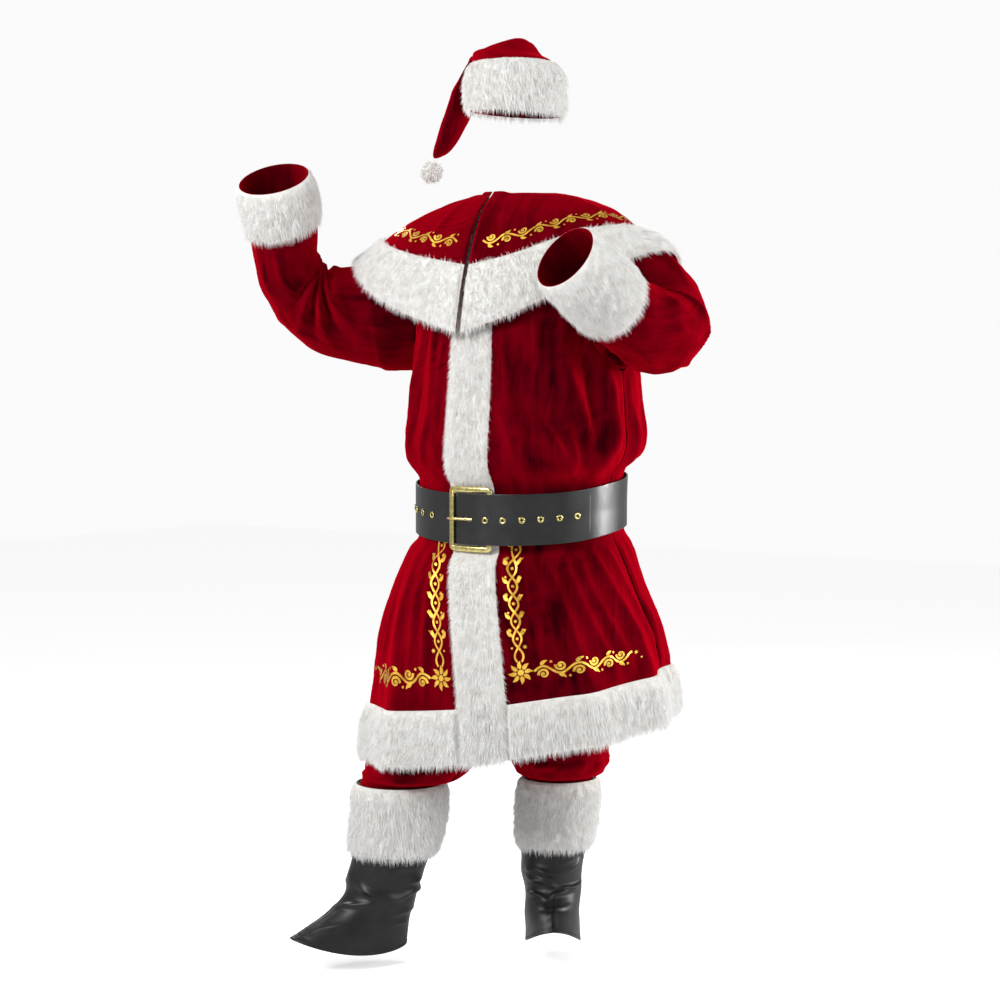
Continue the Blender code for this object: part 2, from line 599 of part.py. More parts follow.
prong = np.array([(12.3, 0.0050), (8.0, 0.0050), (4.0, 0.0052), (0.5, 0.0075), (-3.5, 0.0106), (-6.5, 0.0122), (-10.5, 0.0122)])
centres = belt_point(prong[:, 0], prong[:, 1], np.zeros(len(prong)))
outward = belt_point(prong[:, 0], prong[:, 1] + 0.01, np.zeros(len(prong))) - centres
solids["buckle_prong"] = sweep("buckle_prong", "brass", centres, outward, 0.0026, 0.0022, False)


def along_strap(metres_from_tail_end):
    """Azimuth and layer of the place this far back from the tail's end."""
    p = belt_point(line[:, 0], line[:, 1], np.zeros(len(line)))
    run = np.concatenate([[0], np.cumsum(np.linalg.norm(np.diff(p, axis=0), axis=1))])
    return curve(run, line[:, 0], run[-1] - metres_from_tail_end), curve(run, line[:, 1], run[-1] - metres_from_tail_end)


EYELET_STEP, EYELETS = 0.0365, 14
for k in range(EYELETS):
    azimuth, out = along_strap(0.030 + k * EYELET_STEP)
    if 344 < azimuth < 372:
        continue
    middle = belt_point(azimuth, out, 0.0)
    ahead = unit(belt_point(azimuth + 1, curve(line[:, 0], line[:, 1], azimuth + 1), 0.0) - belt_point(azimuth - 1, curve(line[:, 0], line[:, 1], azimuth - 1), 0.0))
    face = unit(np.cross(ahead, np.array([0.0, 0.0, 1.0])))
    rise = np.cross(face, ahead)
    spin = np.arange(8) * math.pi / 4
    ring = middle + (STRAP / 2 + 0.0014) * face + 0.0047 * (np.cos(spin)[:, None] * ahead + np.sin(spin)[:, None] * rise)
    wide = np.cross(unit(np.roll(ring, -1, 0) - np.roll(ring, 1, 0)), face)
    section = [(0.0019, -0.0008), (0.0010, 0.0008), (-0.0010, 0.0008), (-0.0019, -0.0008)]
    verts = [c + w * a + face * b for c, w in zip(ring, wide) for a, b in section]
    faces = []
    for i in range(8):
        for j in range(4):
            a, b = i * 4 + j, i * 4 + (j + 1) % 4
            c, d = (a + 4) % 32, (b + 4) % 32
            faces += [(a, b, d), (a, d, c)]
    make(f"eyelet_{k + 1:02d}", "brass", verts, faces)


# Trousers: each leg is one piece from the waist, wrapped round the leg and sewn down its inside.
# height, closed (0 over the hips, 1 below the crotch), centre x, centre y, half width, half depth
RIGHT_LEG = (
    (1.005, 0.00, -0.085, 0.000, 0.158, 0.128),
    (0.920, 0.00, -0.085, 0.000, 0.164, 0.134),
    (0.860, 0.10, -0.088, 0.000, 0.168, 0.138),
    (0.820, 0.35, -0.090, -0.002, 0.132, 0.120),
    (0.795, 0.75, -0.092, -0.004, 0.100, 0.108),
    (0.775, 1.00, -0.095, -0.007, 0.091, 0.104),
    (0.680, 1.00, -0.110, -0.042, 0.094, 0.100),
    (0.580, 1.00, -0.124, -0.078, 0.092, 0.096),
    (0.500, 1.00, -0.131, -0.096, 0.088, 0.088),
    (0.450, 1.00, -0.139, -0.108, 0.090, 0.090),
    (0.418, 1.00, -0.148, -0.122, 0.097, 0.097),
    (0.396, 1.00, -0.158, -0.134, 0.104, 0.103),
    (0.383, 1.00, -0.168, -0.140, 0.090, 0.090),
    (0.366, 1.00, -0.191, -0.1475, 0.0788, 0.0788),
    (0.300, 1.00, -0.197, -0.155, 0.0733, 0.0733),
    (0.200, 1.00, -0.205, -0.168, 0.063, 0.063),
)
LEFT_LEG = (
    (1.005, 0.00, 0.085, 0.000, 0.158, 0.128),
    (0.920, 0.00, 0.085, 0.000, 0.164, 0.134),
    (0.860, 0.10, 0.088, 0.000, 0.168, 0.138),
    (0.820, 0.35, 0.090, 0.002, 0.132, 0.120),
    (0.795, 0.75, 0.092, 0.004, 0.100, 0.108),
    (0.775, 1.00, 0.095, 0.006, 0.091, 0.104),
    (0.680, 1.00, 0.092, 0.022, 0.090, 0.098),
    (0.580, 1.00, 0.080, 0.040, 0.086, 0.094),
    (0.500, 1.00, 0.068, 0.054, 0.087, 0.093),
    (0.440, 1.00, 0.058, 0.063, 0.091, 0.096),
    (0.412, 1.00, 0.052, 0.068, 0.094, 0.097),
    (0.394, 1.00, 0.048, 0.072, 0.092, 0.094),
    (0.383, 1.00, 0.044, 0.077, 0.080, 0.082),
    (0.366, 1.00, 0.038, 0.083, 0.0679, 0.0679),
    (0.300, 1.00, 0.035, 0.080, 0.0645, 0.0645),
    (0.200, 1.00, 0.029, 0.075, 0.055, 0.055),
)
LEG_COLUMNS = 16


def leg_rows(side, table, f, heights=None):
    """f runs 0 to 1 from the centre front or inside seam, round the outside, to the centre back or inside seam."""
    t = np.array(table)[::-1]
    z = t[:, 0] if heights is None else heights
    shut, cx, cy, a, b = (curve(t[:, 0], t[:, k], z)[:, None] for k in range(1, 6))
    turn = np.pi * f[None, :]
    hip_x, hip_y = side * (a * np.sin(turn)), -b * np.cos(turn)
    leg_x, leg_y = cx - side * a * np.cos(2 * turn), cy - b * np.sin(2 * turn)
    x = hip_x * (1 - shut) + leg_x * shut
    y = hip_y * (1 - shut) + leg_y * shut
    inside = np.where(z[:, None] > 0.772, 0.0004, -1.0)
    x = side * np.maximum(side * x, inside)
    return np.stack(np.broadcast_arrays(x, y, z[:, None]), -1)


for side, name, table in ((-1, "right", RIGHT_LEG), (1, "left", LEFT_LEG)):
    f = np.linspace(0.004, 0.996, LEG_COLUMNS)
    p = leg_rows(side, table, f)
    n = grid_normals(p, False)
    n[..., 2] *= 0.6
    n = unit(n)
    if np.sum((p - p.mean(axis=1, keepdims=True)) * n) < 0:
        n = -n
    solids["trouser_" + name] = wall("trouser_" + name, "velvet", p, p - 0.0018 * n)
a = np.radians(np.arange(20) * 360 / 20)
band = np.stack([np.stack([r * 0.160 * np.sin(a), -r * 0.130 * np.cos(a), np.full(20, z)], -1) for z, r in ((1.0053, 1.0), (1.045, 0.99))])
n = grid_normals(band, True)
if np.sum(n * band * (1, 1, 0)) < 0:
    n = -n
solids["waistband"] = wall("waistband", "velvet", band, band - 0.003 * n, closed=True)


# Boot covers, in the frame of each foot: back and front of a row with their heights, half width, sideways shift
RIGHT_BOOT = (
    (-0.134, 0.362, 0.042, 0.362, 0.088, 0.0),
    (-0.126, 0.325, 0.036, 0.325, 0.082, 0.0),
    (-0.116, 0.270, 0.042, 0.270, 0.078, 0.0),
    (-0.104, 0.222, 0.050, 0.224, 0.076, 0.0),
    (-0.088, 0.175, 0.058, 0.180, 0.070, 0.0),
    (-0.074, 0.135, 0.068, 0.146, 0.063, 0.0),
    (-0.064, 0.095, 0.098, 0.116, 0.057, 0.0),
    (-0.060, 0.062, 0.142, 0.092, 0.054, 0.0),
    (-0.058, 0.036, 0.190, 0.068, 0.053, 0.0),
)
LEFT_BOOT = (
    (-0.084, 0.362, 0.068, 0.362, 0.075, -0.014),
    (-0.080, 0.325, 0.064, 0.325, 0.071, -0.013),
    (-0.078, 0.270, 0.062, 0.270, 0.069, -0.008),
    (-0.076, 0.222, 0.062, 0.224, 0.066, -0.004),
    (-0.072, 0.175, 0.062, 0.180, 0.061, 0.0),
    (-0.068, 0.135, 0.068, 0.146, 0.056, 0.0),
    (-0.064, 0.095, 0.098, 0.120, 0.054, 0.0),
    (-0.062, 0.062, 0.142, 0.104, 0.055, 0.0),
    (-0.060, 0.036, 0.190, 0.090, 0.056, 0.0),
)
BOOT_COLUMNS = 18
# Folds round the ankle: row, angle from the toe, half sizes, depth
BOOT_CREASES = ((4.2, 30, 0.7, 70, 0.006), (5.2, -110, 0.6, 60, 0.005), (3.0, 150, 0.7, 60, 0.004), (6.2, 60, 0.6, 50, 0.004))


def boot(table, at, heading, columns, v):
    """Points of a boot cover; column 0 is at the toe side and v runs down from the top."""
    t = np.array(table)
    knots = np.arange(len(t), dtype=float)
    back, back_z, front, front_z, half, shift = (curve(knots, t[:, k], v)[:, None] for k in range(6))
    a = 2 * np.pi * np.asarray(columns, float)[None, :] / BOOT_COLUMNS
    forward, sideways = (back + front) / 2 + (front - back) / 2 * np.cos(a), half * np.sin(a)
    z = (back_z + front_z) / 2 + (front_z - back_z) / 2 * np.cos(a) - 0.020 * ramp(v, 5.0, 8.0)[:, None] * np.sin(a) ** 2
    out = 0
    for place, turn, long, broad, depth in BOOT_CREASES:
        out = out + depth * np.exp(-(((v[:, None] - place) / long) ** 2) - (around(np.degrees(a) - turn) / broad) ** 2)
    forward, sideways = forward + out * np.cos(a), sideways + shift + out * np.sin(a)
    t = math.radians(heading)
    ahead, right = np.array([math.sin(t), -math.cos(t)]), np.array([-math.cos(t), -math.sin(t)])
    x = at[0] + forward * ahead[0] + sideways * right[0]
    y = at[1] + forward * ahead[1] + sideways * right[1]
    return np.stack(np.broadcast_arrays(x, y, z), -1)


for name, table, at, heading, fur in (("right", RIGHT_BOOT, (-0.216, -0.188), -30.0, 0.027), ("left", LEFT_BOOT, (0.030, 0.070), 35.0, 0.024)):
    v = np.array([0, 0.7, 1.4, 2.1, 3, 4, 5, 6, 7, 8.0])
    p = boot(table, at, heading, np.arange(BOOT_COLUMNS), v)
    n = grid_normals(p, True)
    if np.sum((p - p.mean(axis=1, keepdims=True)) * n) < 0:
        n = -n
    solids["boot_" + name] = wall("boot_" + name, "vinyl", p, p - LEATHER * n, closed=True)
    top = v <= 3
    p, n = p[top], n[top]
    thick = fur_height(np.linspace(0, 1, len(p))[:, None], 0.5, fur, 0.35) * np.ones(p.shape[:2])
    solids["boot_fur_" + name] = wall("boot_fur_" + name, "fur", p + (GAP + thick)[..., None] * n, p + GAP * n, closed=True)


# The hat: each row's right point and left point as worn, then over the top as its inner and outer point: x, z, x, z, half depth, centre y
HAT_ROWS = (
    (-0.084, 1.700, 0.084, 1.690, 0.104, -0.020),
    (-0.085, 1.725, 0.085, 1.718, 0.105, -0.020),
    (-0.085, 1.750, 0.084, 1.746, 0.104, -0.020),
    (-0.084, 1.774, 0.080, 1.774, 0.102, -0.018),
    (-0.085, 1.789, 0.066, 1.796, 0.094, -0.014),
    (-0.092, 1.799, 0.034, 1.820, 0.082, -0.008),
    (-0.099, 1.802, -0.002, 1.838, 0.066, 0.000),
    (-0.105, 1.798, -0.042, 1.829, 0.056, 0.004),
    (-0.110, 1.789, -0.080, 1.815, 0.049, 0.006),
    (-0.116, 1.773, -0.112, 1.796, 0.043, 0.004),
    (-0.124, 1.735, -0.152, 1.742, 0.038, -0.004),
    (-0.134, 1.690, -0.174, 1.690, 0.034, -0.012),
    (-0.146, 1.655, -0.188, 1.652, 0.027, -0.020),
    (-0.163, 1.630, -0.194, 1.626, 0.018, -0.026),
    (-0.176, 1.621, -0.192, 1.617, 0.008, -0.030),
)
HAT_COLUMNS = 20
t = np.array(HAT_ROWS)
a = 2 * np.pi * np.arange(HAT_COLUMNS)[None, :] / HAT_COLUMNS
middle_x, middle_z = (t[:, 0] + t[:, 2])[:, None] / 2, (t[:, 1] + t[:, 3])[:, None] / 2
half_x, half_z = (t[:, 2] - t[:, 0])[:, None] / 2, (t[:, 3] - t[:, 1])[:, None] / 2
p = np.stack(np.broadcast_arrays(middle_x + half_x * np.cos(a), t[:, 5:6] - t[:, 4:5] * np.sin(a), middle_z + half_z * np.cos(a)), -1)
n = grid_normals(p, True)
if np.sum((p - p.mean(axis=1, keepdims=True)) * n) < 0:
    n = -n
inner = p - 0.0018 * n
tips = (p[-1].mean(axis=0) + np.array((-0.004, 0, -0.005)), p[-1].mean(axis=0) + np.array((-0.001, 0, -0.0022)))
solids["hat"] = wall("hat", "velvet", p, inner, closed=True, tip=tips)
band = slice(0, 5)
p, n = p[band], n[band]
thick = fur_height(np.linspace(0, 1, len(p))[:, None], 0.5, 0.016, 0.35) * np.ones(p.shape[:2])
solids["hat_fur"] = wall("hat_fur", "fur", p + (GAP + thick)[..., None] * n, p + GAP * n, closed=True)
ball, radius, rows, cols = np.array((-0.198, -0.034, 1.590)), 0.0265, 8, 12
verts = [ball + (0, 0, -radius)]
for i in range(1, rows):
    for j in range(cols):
        up, turn = math.pi * i / rows, 2 * math.pi * j / cols
        verts.append(ball + radius * np.array((math.sin(up) * math.cos(turn), math.sin(up) * math.sin(turn), -math.cos(up))))
verts.append(ball + (0, 0, radius))
faces = [(0, 1 + (j + 1) % cols, 1 + j) for j in range(cols)]
for i in range(rows - 2):
    for j in range(cols):
        a, b = 1 + i * cols + j, 1 + i * cols + (j + 1) % cols
        faces += [(a, b, b + cols), (a, b + cols, a + cols)]
last = len(verts) - 1
faces += [(last, last - cols + j, last - cols + (j + 1) % cols) for j in range(cols)]
solids["pompom"] = make("pompom", "fur", verts, faces)
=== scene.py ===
# %% [markdown]
# # A santa suit in its worn pose
# The suit is hollow cloth held in its worn shape. The CAD solids say where each cut piece lies. Here each one gets a thin shell
# with its creases, its pile or its gloss. The same section tables that shaped the solids shape the shells, so the two agree
# everywhere. Lengths are metres, heights in the tables are above the floor, and left and right are the suit's own.

# %% Load the frame
import math

import bmesh
import bpy
import numpy as np
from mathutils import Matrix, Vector, noise
from mathutils.bvhtree import BVHTree
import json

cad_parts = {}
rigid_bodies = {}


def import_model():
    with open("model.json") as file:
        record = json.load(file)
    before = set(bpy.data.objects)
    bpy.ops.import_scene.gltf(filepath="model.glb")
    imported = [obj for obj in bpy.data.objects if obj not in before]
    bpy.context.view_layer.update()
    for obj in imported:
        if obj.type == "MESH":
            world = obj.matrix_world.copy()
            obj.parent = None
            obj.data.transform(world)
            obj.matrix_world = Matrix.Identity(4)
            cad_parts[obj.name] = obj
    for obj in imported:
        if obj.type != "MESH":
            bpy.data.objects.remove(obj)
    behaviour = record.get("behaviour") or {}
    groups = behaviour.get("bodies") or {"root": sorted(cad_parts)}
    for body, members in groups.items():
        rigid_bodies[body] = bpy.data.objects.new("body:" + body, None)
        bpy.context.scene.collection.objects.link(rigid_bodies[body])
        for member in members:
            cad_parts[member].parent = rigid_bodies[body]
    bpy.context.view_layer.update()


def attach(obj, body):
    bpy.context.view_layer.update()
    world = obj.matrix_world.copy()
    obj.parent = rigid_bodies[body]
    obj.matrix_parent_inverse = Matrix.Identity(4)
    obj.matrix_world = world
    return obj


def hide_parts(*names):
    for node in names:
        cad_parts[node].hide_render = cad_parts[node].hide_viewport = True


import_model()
NECK_HEIGHT = 1.50
GAP = 0.0003

# %% [markdown]
# ## Camera, floor and light
# The photograph was taken from the front left of the suit, from about chest height and with a long lens. A plain pale floor and
# large soft lights give velvet its bright edges without hard shadows.

# %% Camera
LOOK = math.radians(35.0)
DISTANCE, CAMERA_HEIGHT, LENS = 4.5, 1.20, 81.0
AIM_SIDE, AIM_HEIGHT = -0.042, 0.93


def seen(s, d, z):
    """A point given as the camera sees it: s to the right, d away, z its height."""
    return np.stack([s * math.cos(LOOK) - d * math.sin(LOOK), s * math.sin(LOOK) + d * math.cos(LOOK), z], -1)


def sunk(p):
    """Heights above the floor turned to heights from the neck."""
    return np.asarray(p, float) - (0.0, 0.0, NECK_HEIGHT)


def in_scene(name, data):
    """A new object in the scene."""
    ob = bpy.data.objects.new(name, data)
    bpy.context.scene.collection.objects.link(ob)
    return ob


eye = Vector(sunk(seen(AIM_SIDE, -DISTANCE, CAMERA_HEIGHT)))
aim = Vector(sunk(seen(AIM_SIDE, 0.0, AIM_HEIGHT)))
camera = in_scene("camera", bpy.data.cameras.new("camera"))
camera.data.lens = LENS
camera.location = eye
camera.rotation_euler = (aim - eye).to_track_quat("-Z", "Y").to_euler()
bpy.context.scene.camera = camera

# %% Colours and nodes


def colour(code):
    """An sRGB hex colour as linear red, green, blue and alpha."""
    parts = [int(code[k : k + 2], 16) / 255 for k in (1, 3, 5)]
    return tuple(c / 12.92 if c <= 0.04045 else ((c + 0.055) / 1.055) ** 2.4 for c in parts) + (1.0,)


def add(tree, kind, settings=None, values=None, links=None):
    """Adds a node: its settings, its sockets' values, and links as {input: output socket}."""
    node = tree.nodes.new(kind)
    for name, value in (settings or {}).items():
        setattr(node, name, value)
    for name, value in (values or {}).items():
        node.inputs[name].default_value = value
    for name, socket in (links or {}).items():
        tree.links.new(socket, node.inputs[name])
    return node


def finish_of(name, **sockets):
    """A new material with its shader, whose uniform values are set on the shader's own sockets."""
    made = bpy.data.materials.new(name)
    made.use_nodes = True
    shader = made.node_tree.nodes["Principled BSDF"]
    for key, value in sockets.items():
        shader.inputs[key.replace("_", " ")].default_value = value
    return made, made.node_tree, shader


def clouds(tree, vector, **values):
    """Noise at these coordinates."""
    return add(tree, "ShaderNodeTexNoise", values=values, links={"Vector": vector}).outputs["Fac"]


def tinted(tree, value, low, high, dark, light):
    """A colour that goes from dark to light as the value goes from low to high."""
    blend = add(tree, "ShaderNodeValToRGB", links={"Fac": value})
    for stop, position, code in zip(blend.color_ramp.elements, (low, high), (dark, light)):
        stop.position, stop.color = position, colour(code)
    return blend.outputs["Color"]


def bumped(tree, height, strength, distance, **links):
    """The surface's normal, tilted by a height."""
    values = {"Strength": strength, "Distance": distance}
    return add(tree, "ShaderNodeBump", values=values, links={"Height": height, **links}).outputs["Normal"]


def glow_level(tree, lighting, shown):
    """One strength for the light that a backdrop gives, and another for how bright the camera sees it."""
    straight = add(tree, "ShaderNodeLightPath").outputs["Is Camera Ray"]
    values = {"To Min": lighting, "To Max": shown}
    return add(tree, "ShaderNodeMapRange", values=values, links={"Value": straight}).outputs["Result"]


# %% Floor and lights
FLOOR_HALF = 9
corners = [(x * FLOOR_HALF, y * FLOOR_HALF, -NECK_HEIGHT) for x, y in ((-1, -1), (1, -1), (1, 1), (-1, 1))]
floor_mesh = bpy.data.meshes.new("floor")
floor_mesh.from_pydata(corners, [], [(0, 1, 2, 3)])
floor = in_scene("floor", floor_mesh)
white = colour("#ffffff")
floor_paint, tree, shader = finish_of("pale studio floor", Base_Color=colour("#e4e4e4"), Roughness=0.9, Emission_Color=white)
tree.links.new(glow_level(tree, 0.02, 0.60), shader.inputs["Emission Strength"])
floor_mesh.materials.append(floor_paint)
world = bpy.data.worlds.new("studio")
bpy.context.scene.world = world
world.use_nodes = True
sky = world.node_tree.nodes["Background"]
sky.inputs["Color"].default_value = white
world.node_tree.links.new(glow_level(world.node_tree, 0.42, 0.96), sky.inputs["Strength"])
bpy.context.scene.view_settings.view_transform = "Standard"
# name, seen s, seen d, height, size, power
LAMPS = (
    ("key light", -2.4, -2.2, 2.7, 1.2, 98),
    ("fill light", 2.9, -1.7, 1.9, 1.3, 34),
    ("side light", 3.0, 0.45, 1.15, 0.7, 60),
    ("rim light", -1.2, 2.8, 2.7, 1.3, 60),
)
for name, s, d, z, size, power in LAMPS:
    lamp = bpy.data.lights.new(name, "AREA")
    lamp.size, lamp.energy = size, power
    holder = in_scene(name, lamp)
    holder.location = sunk(seen(s, d, z))
    holder.rotation_euler = (Vector((0, 0, -0.4)) - holder.location).to_track_quat("-Z", "Y").to_euler()

# %% [markdown]
# ## The body of the coat as one surface
# A coat is cut from flat panels, but worn it follows one rounded form. So the form is one function of an angle and a height: a
# squarish oval whose sizes come from a short table, with its large folds from another. Every panel, and the fur that lies on
# it, is taken from this surface.

# %% Smooth columns


def curve(xs, ys, x):
    """A smooth line through the points of one column, held level beyond its ends."""
    xs, ys = np.asarray(xs, float), np.asarray(ys, float)
    slope = np.gradient(ys, xs)
    x = np.clip(x, xs[0], xs[-1])
    k = np.clip(np.searchsorted(xs, x, side="right") - 1, 0, len(xs) - 2)
    step = xs[k + 1] - xs[k]
    f = (x - xs[k]) / step
    return (
        ys[k] * (1 + 2 * f) * (1 - f) ** 2
        + slope[k] * step * f * (1 - f) ** 2
        + ys[k + 1] * f * f * (3 - 2 * f)
        - slope[k + 1] * step * f * f * (1 - f)
    )


def ramp(x, low, high):
    """Goes softly from 0 to 1 while x goes from low to high."""
    f = np.clip((x - low) / (high - low), 0.0, 1.0)
    return f * f * (3 - 2 * f)


def around(angle):
    """The angle brought into -180 to 180 degrees."""
    return (angle + 180.0) % 360.0 - 180.0


def unit(v):
    return v / np.maximum(np.linalg.norm(v, axis=-1, keepdims=True), 1e-12)


# %% The coat's section table and large folds
# height, half width, half depth, centre x, centre y, turn of the section
TORSO = np.array(
    [
        (0.40, 0.306, 0.290, 0.000, 0.000, 21),
        (0.56, 0.292, 0.272, 0.000, 0.000, 18),
        (0.68, 0.268, 0.242, -0.004, 0.000, 14),
        (0.78, 0.238, 0.210, -0.006, 0.000, 9),
        (0.82, 0.221, 0.193, -0.003, 0.000, 6),
        (0.845, 0.207, 0.178, 0.000, 0.000, 5),
        (0.870, 0.205, 0.176, 0.000, 0.000, 4),
        (0.950, 0.205, 0.176, 0.000, 0.000, 2),
        (0.972, 0.208, 0.179, 0.002, 0.000, 1),
        (1.000, 0.228, 0.196, 0.006, 0.000, 0),
        (1.030, 0.236, 0.202, 0.008, 0.000, 0),
        (1.100, 0.233, 0.198, 0.010, 0.000, 0),
        (1.200, 0.226, 0.188, 0.010, 0.000, 0),
        (1.300, 0.222, 0.172, 0.006, 0.000, 0),
        (1.380, 0.219, 0.150, 0.003, 0.000, 0),
        (1.440, 0.206, 0.124, 0.000, 0.000, 0),
        (1.480, 0.172, 0.106, 0.000, 0.000, 0),
        (1.505, 0.132, 0.094, 0.000, 0.000, 0),
        (1.530, 0.092, 0.084, 0.000, 0.000, 0),
    ]
)
BELT_HEIGHT, BELT_HALF, PLACKET_HALF = 0.906, 0.050, 0.048
SHAPE = 2.25

# Large folds: angle, half width in degrees, height where deepest, height where gone, depth outwards, lean in degrees a metre
SKIRT_FOLDS = (
    (-41, 7.5, 0.43, 0.86, 0.019, 3),
    (-74, 8.0, 0.43, 0.86, 0.023, -4),
    (-102, 7.0, 0.43, 0.86, 0.021, 4),
    (-126, 7.5, 0.43, 0.86, 0.017, 5),
    (-150, 7.0, 0.43, 0.86, 0.022, -3),
    (180, 11.0, 0.43, 0.86, 0.018, 0),
    (151, 7.0, 0.43, 0.86, 0.020, 4),
    (126, 7.5, 0.43, 0.86, 0.024, -5),
    (102, 7.0, 0.43, 0.86, 0.018, -8),
    (74, 8.0, 0.43, 0.86, 0.022, -6),
    (41, 7.5, 0.43, 0.86, 0.018, -4),
)
BODY_FOLDS = (
    (-43, 7.5, 1.00, 1.24, 0.009, 12),
    (-74, 7.5, 1.00, 1.20, 0.010, -10),
    (-102, 7.0, 1.00, 1.22, 0.009, 0),
    (-126, 7.0, 1.00, 1.26, 0.010, 8),
    (-151, 7.0, 1.00, 1.28, 0.009, 4),
    (180, 10.0, 1.00, 1.30, 0.009, 0),
    (151, 7.0, 1.00, 1.28, 0.010, 6),
    (126, 7.0, 1.00, 1.24, 0.009, 10),
    (102, 7.0, 1.00, 1.22, 0.010, 14),
    (74, 7.5, 1.00, 1.28, 0.012, 22),
    (43, 7.5, 1.00, 1.26, 0.010, 26),
)


def folds(table, u, h):
    """How far the large folds of a table push the surface out."""
    out = np.zeros(np.broadcast(u, h).shape)
    for angle, half, deep, gone, depth, lean in table:
        f = np.clip((h - deep) / (gone - deep), 0.0, 1.0)
        away = around(u - angle - lean * (h - deep))
        out += depth * (1 - f) * np.exp(-((away / half) ** 2))
    return out


def belt_line(azimuth):
    """How far the belt rises above its mean height, all round."""
    return -0.023 * np.cos(np.radians(azimuth - 10.0)) + 0.019


def torso(u, h):
    """u in degrees from the front opening towards the left, h the height before the tilts."""
    u, h = np.broadcast_arrays(np.asarray(u, float), np.asarray(h, float))
    half_width, half_depth, cx, cy, turn = (curve(TORSO[:, 0], TORSO[:, k], h) for k in range(1, 6))
    a = np.radians(u)
    squeeze = (np.abs(np.sin(a)) ** SHAPE + np.abs(np.cos(a)) ** SHAPE) ** (-1 / SHAPE)
    off_belt = 1 - np.exp(-(((h - BELT_HEIGHT) / 0.075) ** 4))
    flat = 1 - np.exp(-((around(u) / 14.0) ** 4))
    wave = np.where(h < BELT_HEIGHT, folds(SKIRT_FOLDS, u, h) - 0.010 * ramp(h, 0.86, 0.5), folds(BODY_FOLDS, u, h))
    wave = wave * off_belt * flat
    x = np.sin(a) * (half_width * squeeze + wave)
    y = -np.cos(a) * (half_depth * squeeze + wave)
    t = np.radians(turn)
    px, py = cx + x * np.cos(t) - y * np.sin(t), cy + x * np.sin(t) + y * np.cos(t)
    azimuth = u + turn
    lift = (0.029 + 0.046 * np.cos(np.radians(azimuth - 125.0))) * ramp(h, 0.84, 0.46)
    tilt = belt_line(azimuth) * np.exp(-(((h - BELT_HEIGHT) / 0.13) ** 4))
    shoulder = 0.016 * ramp(px, 0.04, 0.17) * ramp(h, 1.30, 1.46)
    return np.stack([px, py, h + lift + tilt + shoulder], -1)


def normals(surface, u, v, du=0.5, dv=0.003):
    """Normals of a surface at a grid of its places, pointing away from the middle of each row."""
    across = surface(u + du, v) - surface(u - du, v)
    up = surface(u, v + dv) - surface(u, v - dv)
    n = unit(np.cross(across, up))
    p = surface(u, v)
    middle = p.mean(axis=1, keepdims=True)
    return n if np.sum((p - middle) * n) > 0 else -n


def grid_normals(p, closed):
    """Normals of a grid of points, all on the same side of it."""
    across = np.roll(p, -1, 1) - np.roll(p, 1, 1) if closed else np.gradient(p, axis=1)
    return unit(np.cross(across, np.gradient(p, axis=0)))


# %% [markdown]
# ## Sheets with creases
# Cloth is a thin wall. A piece is laid out as a grid of points, pushed in and out by its creases, and thickened inwards. A crease
# is a bent line with a soft, uneven section that dies away at both ends, as it does in a worn garment.

# %% Creases


def creases(table, x, y):
    """Height of soft ridges (or troughs, if negative). Each row: start x, y, end x, y, bend, half width and height, in metres."""
    out = np.zeros(np.broadcast(x, y).shape)
    for x0, y0, x1, y1, bend, half, height in table:
        dx, dy = x1 - x0, y1 - y0
        length = math.hypot(dx, dy)
        along = ((x - x0) * dx + (y - y0) * dy) / length**2
        off = ((x - x0) * dy - (y - y0) * dx) / length - 4 * bend * along * (1 - along)
        off = off + 0.25 * half * np.sin(9.0 * along + 40.0 * x0)
        fade = np.clip(4 * along * (1 - along), 0, 1) ** 0.8 * (0.8 + 0.2 * np.sin(11.0 * along + 60.0 * y0))
        width = half * np.where(off > 0, 1.25, 0.8)
        out += height * fade * np.exp(-((off / width) ** 2))
    return out


def tube_creases(table, degrees, row, degree, step):
    """The same on a tube. Each row: place along and degrees round at start and end, bend, half width and height.

    degree and step are the metres that one degree and one row of the tube take up.
    """
    out = 0
    for k in (-360, 0, 360):
        moved = [((b + k) * degree, a * step, (d + k) * degree, c * step, *rest) for a, b, c, d, *rest in table]
        out = out + creases(moved, degrees * degree, row * step)
    return out


def smooth_noise(p, size, seed=0.0):
    """Soft noise from -1 to 1 at the points of a grid, with lumps of this size in metres."""
    flat = np.asarray(p).reshape(-1, 3) / size + seed
    return np.array([noise.noise(v) for v in flat]).reshape(np.asarray(p).shape[:-1])


# %% A sheet from a grid


def lengths(p):
    """Distance run along the rows and along the columns of a grid, from its first point, in metres."""
    steps = [np.cumsum(np.linalg.norm(np.diff(p, axis=axis), axis=2), axis=axis) for axis in (1, 0)]
    return np.pad(steps[0], ((0, 0), (1, 0))), np.pad(steps[1], ((1, 0), (0, 0)))


def run_along(line):
    """Distance run along a line, from its first point."""
    return np.concatenate([[0], np.cumsum(np.linalg.norm(np.diff(line, axis=0), axis=1))])


def edit(mesh, change):
    """Changes a mesh with BMesh operators."""
    work = bmesh.new()
    work.from_mesh(mesh)
    change(work)
    work.to_mesh(mesh)
    work.free()


